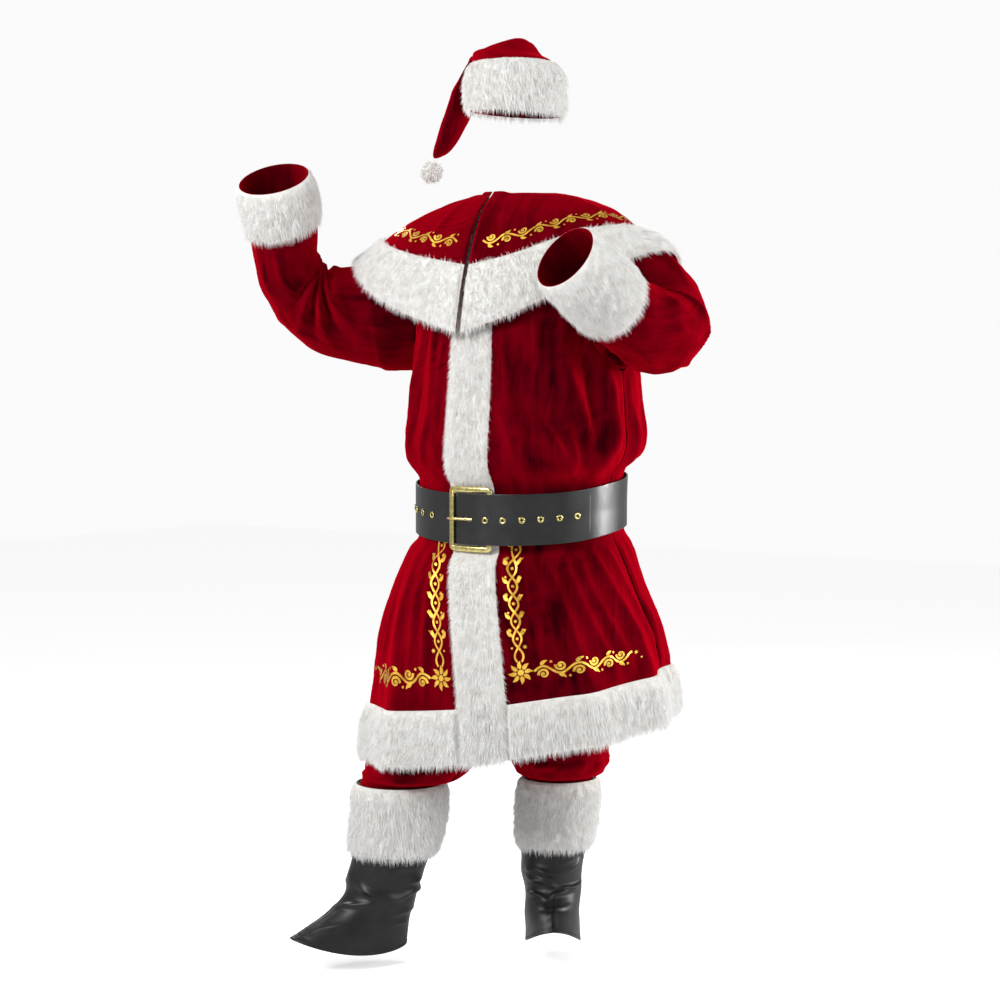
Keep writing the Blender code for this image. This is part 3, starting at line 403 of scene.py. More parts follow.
def grid_mesh(name, p, closed=False, left_out=None):
    """A mesh of quads over a grid of points, with a UV map in metres. left_out marks cells that are open."""
    rows, cols = p.shape[:2]
    wide = cols if closed else cols - 1
    i, j = (a.ravel() for a in np.meshgrid(np.arange(rows - 1), np.arange(wide), indexing="ij"))
    if left_out is not None:
        kept = ~left_out[i, j]
        i, j = i[kept], j[kept]
    k = (j + 1) % cols
    faces = np.stack([i * cols + j, i * cols + k, (i + 1) * cols + k, (i + 1) * cols + j], -1)
    mesh = bpy.data.meshes.new(name)
    mesh.from_pydata(sunk(p).reshape(-1, 3).tolist(), [], faces.tolist())
    whole = np.concatenate([p, p[:, :1]], axis=1) if closed else p
    flat = np.stack(lengths(whole), -1)
    corners = np.stack([flat[i, j], flat[i, j + 1], flat[i + 1, j + 1], flat[i + 1, j]], 1)
    mesh.uv_layers.new(name="cloth").data.foreach_set("uv", corners.reshape(-1))
    mesh.shade_smooth()
    return in_scene(name, mesh)


def outward(p, closed=False, centre=None):
    """Normals of a grid, pointing away from the middle of each row."""
    n = grid_normals(p, closed)
    middle = p.mean(axis=1, keepdims=True) if centre is None else centre
    return -n if np.sum((p - middle) * n) < 0 else n


def piece(ob, finish, slot, *nodes):
    """Gives a finished piece its material and its body, and hides the CAD nodes that it stands for. slot is not used.
    """
    ob.data.materials.clear()
    ob.data.materials.append(finish)
    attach(ob, "root")
    if nodes:
        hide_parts(*nodes)
    return ob


def shell(name, p, n, thickness, closed=False, left_out=None):
    """A cloth wall whose outer face is the grid, thickened inwards, with its faces turned out."""
    a = np.cross(p[0, 1] - p[0, 0], p[1, 0] - p[0, 0])
    if np.dot(a, n[0, 0]) < 0:
        p, n = p[::-1], n[::-1]
        left_out = None if left_out is None else left_out[::-1]
    ob = grid_mesh(name, p, closed, left_out)
    wall = ob.modifiers.new("wall", "SOLIDIFY")
    wall.thickness, wall.offset, wall.use_even_offset = thickness, -1.0, False
    return ob


# %% [markdown]
# ## Velvet
# The cloth is a stretch velvet with a short, dense pile. Face on it drinks the light and looks almost black-red. Where
# the pile is seen from the side a bright red is painted into its colour, a painted sheen, and with the shader's sheen
# it does most of the work. Brushed patches of pile are laid in slightly different ways.

# %% Velvet material


def velvet(name, deep, lit, painted_sheen_colour, rim):
    """Velvet: deep and lit where it is seen face on, with a painted sheen colour mixed into the base colour where it
    turns away, and a shader sheen of the rim's colour.
    """
    sheen = {"Sheen_Weight": 0.27, "Sheen_Roughness": 0.22, "Sheen_Tint": colour(rim)}
    made, tree, shader = finish_of(name, Roughness=0.7, IOR=1.4, Specular_IOR_Level=0.0, **sheen)
    where = add(tree, "ShaderNodeTexCoord").outputs["Object"]
    cloth = add(tree, "ShaderNodeUVMap", {"uv_map": "cloth"}).outputs["UV"]
    hang = add(tree, "ShaderNodeMapping", values={"Scale": (1.0, 0.16, 1.0)}, links={"Vector": cloth}).outputs["Vector"]
    streaks = clouds(tree, hang, Scale=42.0, Detail=3.0, Roughness=0.55, Distortion=0.4)
    brushed = clouds(tree, where, Scale=12.0, Detail=3.0, Roughness=0.6, Distortion=0.5)
    fine = clouds(tree, where, Scale=2200.0, Detail=2.0, Roughness=0.6)
    both = add(tree, "ShaderNodeMix", links={2: streaks, 3: brushed}).outputs[0]
    shade = tinted(tree, both, 0.40, 0.62, deep, lit)
    edge = add(tree, "ShaderNodeLayerWeight", values={"Blend": 0.46})
    turned = edge.outputs["Facing"]
    # painted sheen: a bright red mixed into the base colour where the cloth is seen from the side
    painted_sheen_mix = add(tree, "ShaderNodeMix", {"data_type": "RGBA"}, {7: colour(painted_sheen_colour)}, {"Factor": turned, 6: shade})
    nap = bumped(tree, fine, 0.30, 0.0005)
    soft = bumped(tree, streaks, 0.40, 0.006, Normal=nap)
    tree.links.new(painted_sheen_mix.outputs[2], shader.inputs["Base Color"])
    tree.links.new(soft, shader.inputs["Normal"])
    tree.links.new(soft, edge.inputs["Normal"])
    return made


# The third colour is a painted sheen, mixed in where the cloth is seen from the side; the first two are tones of
# brushed pile.
VELVET = velvet("dark red velvet", "#290007", "#66000f", "#ac0216", "#ff1c30")

# %% [markdown]
# ## Coat fronts and back
# Two fronts and a back meet at the side seams and at the shoulders, and each armhole is cut out of a front and the back. Below
# the belt the skirt hangs in long soft flutes. Above it the cloth blouses over the belt and is dragged up towards the sleeves.

# %% Coat surface in metres
ARM_MIDDLE, ARM_HALF, ARM_WIDE = 1.325, 0.133, 31.0
COAT_HEM, COAT_TOP, FUR_TOP = 0.430, 1.528, 0.537
SIDE_GAP, FRONT_GAP = 0.00018, 0.00025


def side_edge(h):
    """How far round a front reaches: to the side seam, or less beside the armhole."""
    f = np.clip((h - ARM_MIDDLE) / ARM_HALF, -1, 1)
    return 90.0 - ARM_WIDE * np.sqrt(np.maximum(0.0, 1 - f * f))


def placket_edge(h):
    """Half the angle that the fur down the front takes up."""
    a = curve(TORSO[:, 0], TORSO[:, 1], h)
    wide = PLACKET_HALF * curve([0.4, 1.25, 1.5], [1.0, 0.98, 0.75], h)
    return np.degrees(wide / (a * 1.02))


def seam(metres, h):
    """The angle that a width takes up at a height of the coat."""
    return np.degrees(metres / curve(TORSO[:, 0], TORSO[:, 1], h))


# Small creases of the coat: each from degrees and height to degrees and height, bend, half width, height out
COAT_CREASES = (
    (28, 1.16, 67, 0.985, 0.022, 0.015, 0.0130),
    (40, 1.12, 70, 0.975, 0.020, 0.009, -0.0080),
    (47, 1.31, 66, 1.05, 0.016, 0.017, 0.0130),
    (61, 1.29, 69, 1.03, 0.010, 0.009, -0.0110),
    (70, 1.24, 78, 1.01, -0.012, 0.014, 0.0130),
    (80, 1.18, 86, 0.995, 0.010, 0.009, 0.0080),
    (20, 1.31, 28, 1.03, 0.010, 0.010, 0.0060),
    (33, 1.32, 44, 1.16, 0.008, 0.009, 0.0060),
    (15, 1.14, 27, 0.99, -0.008, 0.008, 0.006),
    (26, 1.1, 38, 0.985, 0.006, 0.008, 0.0055),
    (50, 1.09, 56, 0.985, -0.006, 0.008, 0.006),
    (-16, 1.3, -20, 1.08, 0.006, 0.008, 0.0065),
    (-24, 1.33, -30, 0.99, -0.008, 0.012, 0.0110),
    (-36, 1.3, -43, 1, 0.01, 0.012, 0.0105),
    (-30, 1.28, -37, 1.02, 0.004, 0.006, -0.0060),
    (-50, 1.26, -57, 0.99, -0.008, 0.009, 0.008),
    (-64, 1.19, -72, 1, 0.008, 0.009, 0.0075),
    (-80, 1.16, -84, 0.99, -0.006, 0.009, 0.0065),
    (98, 1.18, 106, 1, 0.008, 0.01, 0.0075),
    (114, 1.26, 122, 0.99, -0.01, 0.01, 0.008),
    (130, 1.31, 140, 1, 0.012, 0.01, 0.008),
    (148, 1.32, 155, 0.99, -0.01, 0.01, 0.008),
    (166, 1.33, 170, 1, 0.008, 0.01, 0.007),
    (-176, 1.33, -174, 0.99, -0.006, 0.01, 0.0075),
    (-160, 1.32, -157, 1, 0.01, 0.01, 0.008),
    (-142, 1.31, -138, 0.99, -0.01, 0.01, 0.008),
    (-124, 1.27, -119, 1, 0.01, 0.01, 0.008),
    (-104, 1.2, -100, 0.99, -0.008, 0.01, 0.0075),
)
# The flutes of the skirt
COAT_CREASES += (
    (19, 0.865, 21.7, 0.475, 0.0034, 0.0085, 0.0095),
    (28, 0.865, 33.4, 0.477, 0.0047, 0.0108, 0.0092),
    (37, 0.865, 40.2, 0.48, -0.0064, 0.0092, 0.0084),
    (47, 0.865, 54.7, 0.482, -0.0006, 0.0097, 0.0072),
    (57, 0.865, 65.4, 0.485, 0.0068, 0.0105, 0.0071),
    (67, 0.865, 74.6, 0.487, -0.0038, 0.0086, 0.0083),
    (78, 0.865, 90.8, 0.49, -0.0043, 0.011, 0.0091),
    (96, 0.865, 93.8, 0.492, 0.0066, 0.0088, 0.0095),
    (107, 0.865, 104.5, 0.495, 0.0001, 0.0102, 0.0093),
    (119, 0.865, 119.1, 0.497, -0.0066, 0.01, 0.0085),
    (131, 0.865, 127.3, 0.499, 0.0042, 0.0089, 0.0074),
    (144, 0.865, 142.2, 0.502, 0.0039, 0.0109, 0.0069),
    (157, 0.865, 155.9, 0.504, -0.0068, 0.0085, 0.0082),
    (170, 0.865, 165.5, 0.506, 0.0005, 0.0107, 0.0091),
    (-177, 0.865, -172.9, 0.508, 0.0065, 0.0094, 0.0095),
    (-164, 0.865, -161.4, 0.51, -0.0046, 0.0094, 0.0093),
    (-151, 0.865, -150.3, 0.512, -0.0035, 0.0107, 0.0086),
    (-138, 0.865, -134, 0.514, 0.0069, 0.0085, 0.0075),
    (-125, 0.865, -124.2, 0.516, -0.001, 0.0109, 0.0068),
    (-113, 0.865, -111.9, 0.518, -0.0062, 0.0089, 0.008),
    (-101, 0.865, -97.7, 0.519, 0.005, 0.01, 0.009),
    (-82, 0.865, -95.3, 0.521, 0.003, 0.0102, 0.0095),
    (-71, 0.865, -80.3, 0.523, -0.007, 0.0088, 0.0094),
    (-60, 0.865, -67.4, 0.524, 0.0015, 0.011, 0.0087),
    (-49, 0.865, -57.8, 0.525, 0.006, 0.0086, 0.0077),
    (-39, 0.865, -42.8, 0.527, -0.0054, 0.0105, 0.0066),
    (-29, 0.865, -33.3, 0.528, -0.0025, 0.0097, 0.0079),
    (-20, 0.865, -24.1, 0.529, 0.007, 0.0092, 0.0089),
)
PER_DEGREE = 0.0039


def coat_grid(u, h):
    """The coat's surface with its small creases, which fade beside the belt, the front fur, the seams and the edges."""
    u, h = np.broadcast_arrays(np.asarray(u, float), np.asarray(h, float))
    table = [(a * PER_DEGREE, b, c * PER_DEGREE, d, *rest) for a, b, c, d, *rest in COAT_CREASES]
    out = creases(table, around(u) * PER_DEGREE, h)
    p = torso(u, h)
    out += 0.0011 * smooth_noise(p, 0.035) + 0.0006 * smooth_noise(p, 0.014, 7.0)
    calm = ramp(np.abs(h - BELT_HEIGHT), 0.056, 0.085) * ramp(np.abs(around(u)), 12.5, 17.0)
    calm = calm * ramp(np.abs(np.abs(around(u)) - side_edge(h)), 0.2, 3.0) * (1 - ramp(h, 1.30, 1.36)) * ramp(h, 0.535, 0.56)
    return p + (out * calm)[..., None] * normals(torso, u, h)


# %% [markdown]
# ## A gold foil border
# A gold border is pressed on the cloth, down beside the front fur and along above the hem. Here it is a plain design of the
# traditional kind: a twisted vine with leaves, a rosette at the corner, then a wave of scrolls with dots and stars. Each line is
# a thin ribbon drawn in panel metres and laid on the cloth's own grid, so it takes every fold.

# %% Gold foil material


def foil(name, base, worn):
    """Metal foil on cloth, worn in patches, with the pile's grain."""
    made, tree, shader = finish_of(name, Metallic=0.55, Roughness=0.42, IOR=1.45)
    where = add(tree, "ShaderNodeTexCoord").outputs["Object"]
    patches = clouds(tree, where, Scale=60.0, Detail=4.0, Roughness=0.65)
    pile = clouds(tree, where, Scale=1500.0, Detail=2.0)
    tree.links.new(tinted(tree, patches, 0.32, 0.60, worn, base), shader.inputs["Base Color"])
    tree.links.new(bumped(tree, pile, 0.35, 0.0004), shader.inputs["Normal"])
    return made


GOLD = foil("gold foil print", "#f0c04a", "#c8902a")

# %% Motifs of the border, in metres along and across its band


def line_shape(points, half):
    """A ribbon along flat points, with its half width at each."""
    points, half = np.asarray(points, float), np.asarray(half, float) * np.ones(len(points))
    way = unit(np.gradient(points, axis=0))
    side = np.stack([-way[:, 1], way[:, 0]], -1) * half[:, None]
    k = np.arange(len(points) - 1) * 2
    return np.stack([points + side, points - side], 1).reshape(-1, 2), [(i, i + 1, i + 3, i + 2) for i in k]


def disc(x, y, radius, points=0):
    """A dot, or a star where it has points."""
    count = points * 2 if points else 12
    a = np.arange(count) * 2 * math.pi / count + math.pi / 2
    r = radius * (np.where(np.arange(count) % 2, 0.45, 1.0) if points else np.ones(count))
    ring = np.stack([x + r * np.cos(a), y + r * np.sin(a)], -1)
    return np.concatenate([[(x, y)], ring]), [(0, 1 + i, 1 + (i + 1) % count) for i in range(count)]


def leaf(x, y, degrees, long, wide):
    """A pointed leaf that starts at x, y and bows a little to its left."""
    f = np.linspace(0, 1, 8)
    a, bow = math.radians(degrees), 0.12 * long * np.sin(np.pi * f)
    line = np.stack([x + f * long * math.cos(a) - bow * math.sin(a), y + f * long * math.sin(a) + bow * math.cos(a)], -1)
    return line_shape(line, wide / 2 * np.sin(np.pi * f**0.7) + 0.0001)


def scroll(x, y, radius, start, way, turns=1.35):
    """A curl that winds in from its outer end to a dot."""
    f = np.linspace(0, 1, 30)
    a = math.radians(start) + way * f * turns * 2 * math.pi
    r = radius * (1 - 0.80 * f)
    shape = line_shape(np.stack([x + r * np.cos(a), y + r * np.sin(a)], -1), radius * (0.25 - 0.12 * f))
    return [shape, disc(x, y, radius * 0.24)]


def vine_run(length):
    """Two crossing vines with a dot in each eye and leaves outside."""
    wave, pitch = 0.0085, 0.036
    s = np.linspace(0, length, int(length / 0.0025))
    across = wave * np.sin(np.pi * s / pitch)
    shapes = [line_shape(np.stack([s, across], -1), 0.0021), line_shape(np.stack([s, -across], -1), 0.0018)]
    for k in range(int(length / pitch)):
        at, side = pitch / 2 + k * pitch, (-1) ** k
        if at > length - 0.006:
            break
        shapes.append(disc(at, 0, 0.0030))
        shapes += [leaf(at - 0.006, way * wave, way * 142, 0.0170, 0.0074) for way in (1, -1)]
        shapes += [disc(at + pitch / 2, 0.0125 * side, 0.0023), disc(at + pitch / 2, -0.0135 * side, 0.0050, 6)]
    return shapes


def scroll_run(length, deep=1.0):
    """A wave with a curl in each hollow, dots and small leaves."""
    pitch = 0.033
    s = np.linspace(0, length, int(length / 0.0025))
    shapes = [line_shape(np.stack([s, deep * 0.0090 * np.sin(np.pi * s / pitch)], -1), 0.0023 * deep)]
    for k in range(int(length / pitch)):
        at, side = (k + 0.5) * pitch, -1 if k % 2 else 1
        if at > length - 0.010:
            break
        shapes += scroll(at + 0.001, -side * deep * 0.0075, deep * 0.0105, 180 + side * 10, -side)
        shapes.append(leaf(at - 0.004, side * deep * 0.0115, side * 32, deep * 0.0165, deep * 0.0075))
        shapes.append(disc(at + pitch / 2, side * deep * 0.0165, deep * 0.0026))
    return shapes


def rosette(x, y, radius):
    """Eight petals round a dot."""
    turns = [(45 * k, 0.3 * radius * math.cos(k * math.pi / 4), 0.3 * radius * math.sin(k * math.pi / 4)) for k in range(8)]
    return [disc(x, y, radius * 0.26)] + [leaf(x + a, y + b, turn, radius * 0.72, radius * 0.34) for turn, a, b in turns]


def laid(shapes, x, y, degrees):
    """Shapes moved and turned to their place on the panel."""
    a = math.radians(degrees)
    turn = np.array([(math.cos(a), math.sin(a)), (-math.sin(a), math.cos(a))])
    return [(points @ turn + (x, y), faces) for points, faces in shapes]


def printed(name, shapes, place):
    """One mesh of flat shapes, each point put on the cloth by place(points)."""
    verts, faces, count = [], [], 0
    for points, parts in shapes:
        verts.append(points)
        faces += [tuple(i + count for i in part) for part in parts]
        count += len(points)
    p, n = place(np.concatenate(verts))
    mesh = bpy.data.meshes.new(name)
    mesh.from_pydata(sunk(p).tolist(), [], faces)
    mesh.shade_smooth()

    def turn_out(work):
        for face in work.faces:
            face.normal_update()
            if face.normal.dot(Vector(n[face.verts[0].index])) < 0:
                face.normal_flip()

    edit(mesh, turn_out)
    ob = in_scene(name, mesh)
    print(name, sum(len(f.vertices) - 2 for f in mesh.polygons), "triangles")
    return piece(ob, GOLD, None)


def on_grid(p, n, row, column, lift=0.0006):
    """Points on the faces of a grid at fractional rows and columns, lifted off it, with their normals."""
    i, j = (np.clip(np.floor(place).astype(int), 0, most - 2) for place, most in zip((row, column), p.shape))
    a, b = (row - i)[:, None], (column - j)[:, None]
    at = (1 - b) * ((1 - a) * p[i, j] + a * p[i + 1, j]) + b * ((1 - a) * p[i, j + 1] + a * p[i + 1, j + 1])
    way = unit(n[i, j] + n[i + 1, j] + n[i, j + 1] + n[i + 1, j + 1])
    return at + lift * way, way


BORDER_TOP, BORDER_LOW, BORDER_IN, BORDER_LONG = 0.866, 0.598, 0.034, 0.215
BORDER = laid(vine_run(BORDER_TOP - BORDER_LOW - 0.022), BORDER_IN, BORDER_TOP, -90)
BORDER += laid(rosette(0, 0, 0.024), BORDER_IN, BORDER_LOW, 0)
BORDER += laid(scroll_run(BORDER_LONG), BORDER_IN + 0.026, BORDER_LOW, 0)
BORDER += laid([disc(0, 0.006, 0.0052, 6), disc(0.012, -0.008, 0.0022)], BORDER_IN + BORDER_LONG + 0.036, BORDER_LOW, 0)

# %% Coat panels
CLOTH = 0.002
rows = np.concatenate([np.linspace(COAT_HEM, 0.855, 66), np.linspace(0.865, 0.948, 6), np.linspace(0.958, COAT_TOP, 98)])[:, None]
edge, near = side_edge(rows) - seam(SIDE_GAP, rows), seam(FRONT_GAP, rows)
front = near + np.linspace(0, 1, 58)[None, :] * (edge - near)
rear_edge = 180.0 - side_edge(rows) + seam(SIDE_GAP, rows)
rear = rear_edge + np.linspace(0, 1, 104)[None, :] * (360.0 - 2 * rear_edge)
for name, u, cut in (
    ("coat_front_left", front, (0.49, 1.28)),
    ("coat_front_right", -front[:, ::-1], (0.49, 1.28)),
    ("coat_back", rear, (1.00, 1.28)),
):
    p = coat_grid(u, rows)
    n = outward(p, centre=np.array([0.0, 0.0, 1.0]))
    ob = piece(shell(name + "_cloth", p, n, CLOTH), VELVET, "velvet", name)
    if name != "coat_back":

        def on_front(points, p=p, n=n, mirrored=name.endswith("right")):
            out, h = points[:, 0], points[:, 1]
            start, first, last = placket_edge(h) + seam(out, h), seam(FRONT_GAP, h), side_edge(h) - seam(SIDE_GAP, h)
            column = (start - first) / (last - first) * (p.shape[1] - 1)
            return on_grid(p, n, np.interp(h, rows[:, 0], np.arange(len(rows))), p.shape[1] - 1 - column if mirrored else column)

        printed(name.replace("coat", "gold_border"), BORDER, on_front)
    across, up = lengths(p)

# %% [markdown]
# ## White plush fur
# The trim is a long-pile plush: a knitted backing with dense white fibres about a finger's width long, which lean over
# in tufts.
# The backing's bulk is a rounded strip with lumps. The fibres are small clumps of tapered blades, spread over it by
# Geometry
# Nodes, each standing out from the strip and combed the way it hangs. The backing and the fibres' roots are painted
# greyer, as painted shade.

# %% Fur materials


def fur(name, root, tip, ends=None):
    """White plush in tufts of two tones: fibres with painted shade at their roots, which pale to the colour of their
    ends, or a backing with a grain.
    """
    made, tree, shader = finish_of(name, Roughness=0.85, IOR=1.45, Sheen_Weight=0.35, Sheen_Roughness=0.5, Specular_IOR_Level=0.15)
    where = add(tree, "ShaderNodeTexCoord").outputs["Object"]
    out = tinted(tree, clouds(tree, where, Scale=70.0, Detail=3.0, Roughness=0.6), 0.3, 0.65, root, tip)
    if ends:
        # painted shade: each fibre runs from the greyer tuft colour at its root to the colour of its ends at its tip
        place = add(tree, "ShaderNodeUVMap", {"uv_map": "strand"}).outputs["UV"]
        up = add(tree, "ShaderNodeSeparateXYZ", links={"Vector": place}).outputs["Y"]
        out = add(tree, "ShaderNodeMix", {"data_type": "RGBA"}, {7: colour(ends)}, {"Factor": up, 6: out}).outputs[2]
    else:
        grain = clouds(tree, where, Scale=900.0, Detail=2.0)
        tree.links.new(bumped(tree, grain, 0.6, 0.0015), shader.inputs["Normal"])
    tree.links.new(out, shader.inputs["Base Color"])
    return made


# The backing's greyer whites are painted shade under the fibres, with a tone that changes at random. The fibres' roots
# are painted greyer than their ends, as shade.
FUR_BACKING = fur("white plush backing", "#dad7d0", "#efefed")
FUR_FIBRES = fur("white plush fibres", "#e6e3dd", "#fafaf9", "#fbfbfb")

# %% One clump of fibres
BLADES = 5


def clump_mesh():
    """A few tapering fibres, rooted round a ring, whose tips draw together as they lean over to +X. It is one unit
    long.
    """
    verts, faces, uvs = [], [], []
    for k in range(BLADES):
        spin = 2 * math.pi * k / BLADES + 0.4
        root = np.array([math.cos(spin), math.sin(spin), 0.0]) * 0.12
        long = 0.80 + 0.20 * math.cos(2.3 * k)
        side = np.array([-math.sin(spin + 0.5), math.cos(spin + 0.5), 0.0]) * 0.026
        tip = root * 0.5 + np.array([0.30, 0.10 * math.sin(2 * spin), 0.95]) * long
        verts += [root - side, root + side, tip]
        faces.append((3 * k, 3 * k + 1, 3 * k + 2))
        uvs += [(0, 0), (1, 0), (0.5, 1)]
    mesh = bpy.data.meshes.new("clump")
    mesh.from_pydata([tuple(v) for v in verts], [], faces)
    mesh.uv_layers.new(name="strand").data.foreach_set("uv", np.array(uvs, float).reshape(-1))
    return mesh


clump = bpy.data.objects.new("clump", clump_mesh())

# %% Clumps over a surface


def group(name, **kinds):
    """A tree that takes and gives geometry, with more inputs of these kinds. Returns it, its input sockets and its end."""
    tree = bpy.data.node_groups.new(name, "GeometryNodeTree")
    for key, kind in {"Geometry": "Geometry", **kinds}.items():
        tree.interface.new_socket(key, in_out="INPUT", socket_type="NodeSocket" + kind)
    tree.interface.new_socket("Geometry", in_out="OUTPUT", socket_type="NodeSocketGeometry")
    return tree, add(tree, "NodeGroupInput").outputs, add(tree, "NodeGroupOutput")


def stored(tree, name, kind="FLOAT_VECTOR"):
    """What the mesh stores at each point under this name."""
    return add(tree, "GeometryNodeInputNamedAttribute", {"data_type": kind}, {"Name": name}).outputs["Attribute"]


def put_on(tree, shape, finish, end, **links):
    """Puts a shape at each point, makes it real faces with a finish, and gives them to the tree's end."""
    whole = add(tree, "GeometryNodeObjectInfo", links={"Object": shape}).outputs["Geometry"]
    put = add(tree, "GeometryNodeInstanceOnPoints", links={"Instance": whole, **links}).outputs["Instances"]
    real = add(tree, "GeometryNodeRealizeInstances", links={"Geometry": put}).outputs["Geometry"]
    done = add(tree, "GeometryNodeSetMaterial", links={"Geometry": real, "Material": finish}).outputs["Geometry"]
    tree.links.new(done, end.inputs["Geometry"])


def fibre_tree():
    """Scatters clumps over the faces, turned to the stored direction and scaled by the stored reach."""
    kinds = {"Clump": "Object", "Density": "Float", "Seed": "Int", "Ruffle": "Float", "Finish": "Material"}
    tree, start, end = group("fibres over a surface", **kinds)
    where = {"Mesh": start["Geometry"], "Density": start["Density"], "Seed": start["Seed"]}
    spread = add(tree, "GeometryNodeDistributePointsOnFaces", links=where).outputs["Points"]

    def sums(operation, *sockets, values=None):
        return add(tree, "ShaderNodeVectorMath", {"operation": operation}, values, dict(enumerate(sockets))).outputs["Vector"]

    tufts = add(tree, "ShaderNodeTexNoise", values={"Scale": 75.0, "Detail": 1.5}).outputs["Color"]
    off = sums("SUBTRACT", tufts, values={1: (0.5, 0.5, 0.5)})
    lean = add(tree, "ShaderNodeVectorMath", {"operation": "SCALE"}, links={0: off, "Scale": start["Ruffle"]}).outputs["Vector"]
    spans = {"Min": (-0.16, -0.16, -0.16), "Max": (0.16, 0.16, 0.16)}
    jitter = add(tree, "FunctionNodeRandomValue", {"data_type": "FLOAT_VECTOR"}, spans, {"Seed": start["Seed"]})
    way = sums("ADD", sums("ADD", stored(tree, "way"), lean), jitter.outputs["Value"])
    turn = add(tree, "FunctionNodeAlignRotationToVector", {"axis": "Z"}, links={"Vector": way}).outputs["Rotation"]
    combed = {"Rotation": turn, "Vector": stored(tree, "comb")}
    turn = add(tree, "FunctionNodeAlignRotationToVector", {"axis": "X", "pivot_axis": "Z"}, links=combed).outputs["Rotation"]
    twist = add(tree, "FunctionNodeRandomValue", {"data_type": "FLOAT"}, links={"Seed": start["Seed"]})
    for socket in twist.inputs:
        if socket.type == "VALUE":
            socket.default_value = {"Min": 0.75, "Max": 1.2}.get(socket.name, socket.default_value)
    share = next(socket for socket in twist.outputs if socket.type == "VALUE")
    reach = stored(tree, "reach", "FLOAT")
    size = add(tree, "ShaderNodeMath", {"operation": "MULTIPLY"}, links={0: reach, 1: share}).outputs["Value"]
    put_on(tree, start["Clump"], start["Finish"], end, Points=spread, Rotation=turn, Scale=size)
    return tree


FIBRES = fibre_tree()


def grown(name, base, tree, **values):
    """Runs a Geometry Nodes tree on a piece and keeps the result as a plain mesh in a new object."""
    held = in_scene(name + "_source", base.data)
    step = held.modifiers.new("grow", "NODES")
    step.node_group = tree
    for socket in tree.interface.items_tree:
        if socket.in_out == "INPUT" and socket.name in values:
            step[socket.identifier] = values[socket.name]
    bpy.context.view_layer.update()
    mesh = bpy.data.meshes.new_from_object(held.evaluated_get(bpy.context.evaluated_depsgraph_get()))
    bpy.data.objects.remove(held)
    mesh.name = name
    return in_scene(name, mesh)


def store(mesh, **layers):
    """Stores a number or a direction at each point of a mesh, under its name."""
    for name, values in layers.items():
        values = np.ascontiguousarray(values, dtype=float).reshape(-1)
        kind, field = ("FLOAT", "value") if len(values) == len(mesh.vertices) else ("FLOAT_VECTOR", "vector")
        mesh.attributes.new(name, kind, "POINT").data.foreach_set(field, values)


# %% A fur strip
LEAN = 1.15


def fur_height(i, j, top, edge=0.35):
    """Height of a fur strip over its grid: low at the edges and round over the middle."""
    across = 1 - np.abs(2 * np.asarray(i) - 1) ** 3
    along = 1 - np.abs(2 * np.asarray(j) - 1) ** 8
    return top * (edge + (1 - edge) * np.minimum(across, 1) * (0.35 + 0.65 * along))


def band_height(p, top):
    """The height of a strip over a grid whose rows run from one cut edge to the other."""
    return fur_height(np.linspace(0, 1, len(p))[:, None], 0.5, top) * np.ones(p.shape[:2])


def fur_strip(name, p, n, top, comb, seed, density=62000, closed=False, spilled=1.7):
    """A strip of plush over a grid of cloth points: its backing with lumps, and its fibres. top is its height at each point."""
    lump = smooth_noise(p, 0.013, seed) * 0.20 + smooth_noise(p, 0.0055, seed + 3.0) * 0.10
    bulk = np.maximum(top * (0.50 + lump), 0.0008)
    bulk[0] = bulk[-1] = 0.0
    if not closed:
        bulk[:, 0] = bulk[:, -1] = 0.0
    skin = p + (GAP + bulk)[..., None] * n
    a = np.cross(skin[1, 2] - skin[1, 1], skin[2, 1] - skin[1, 1])
    if np.dot(a, n[1, 1]) < 0:
        skin, n, top, comb = skin[::-1], n[::-1], top[::-1], comb[::-1]
    base = grid_mesh(name + "_backing", skin, closed)
    away = lengths(skin)[1]
    onward = unit(np.gradient(skin, axis=0))
    spill = np.exp(-(((away[-1] - away) / 0.009) ** 2)) - np.exp(-((away / 0.009) ** 2))
    direction = unit(n + LEAN * (comb + spilled * spill[..., None] * onward))
    reach = np.minimum(0.0075 + 0.45 * top, 2.4 * top + 0.0012)
    run = np.linspace(0, 1, len(skin))[:, None]
    towards = np.sum(unit(comb) * onward, axis=-1).mean()
    fringe = np.exp(-(((1 - run if towards > 0 else run) / 0.13) ** 2)) * (top > 0.004)
    reach = reach + 0.006 * abs(towards) * fringe
    store(base.data, way=direction, comb=unit(comb + 1e-6), reach=reach)
    pile = grown(name + "_pile", base, FIBRES, Clump=clump, Density=density, Seed=seed, Ruffle=1.1, Finish=FUR_FIBRES)
    piece(pile, FUR_FIBRES, "fur")
    piece(base, FUR_BACKING, "fur", name)
    fibres = sum(len(f.vertices) - 2 for f in pile.data.polygons)
    print(name, "backing", len(base.data.polygons) * 2, "triangles, fibres", fibres)


def down(p, side=0.0):
    """A combing direction for each point: downwards, with a sideways share."""
    return np.zeros_like(p) + (0, 0, -1) + side


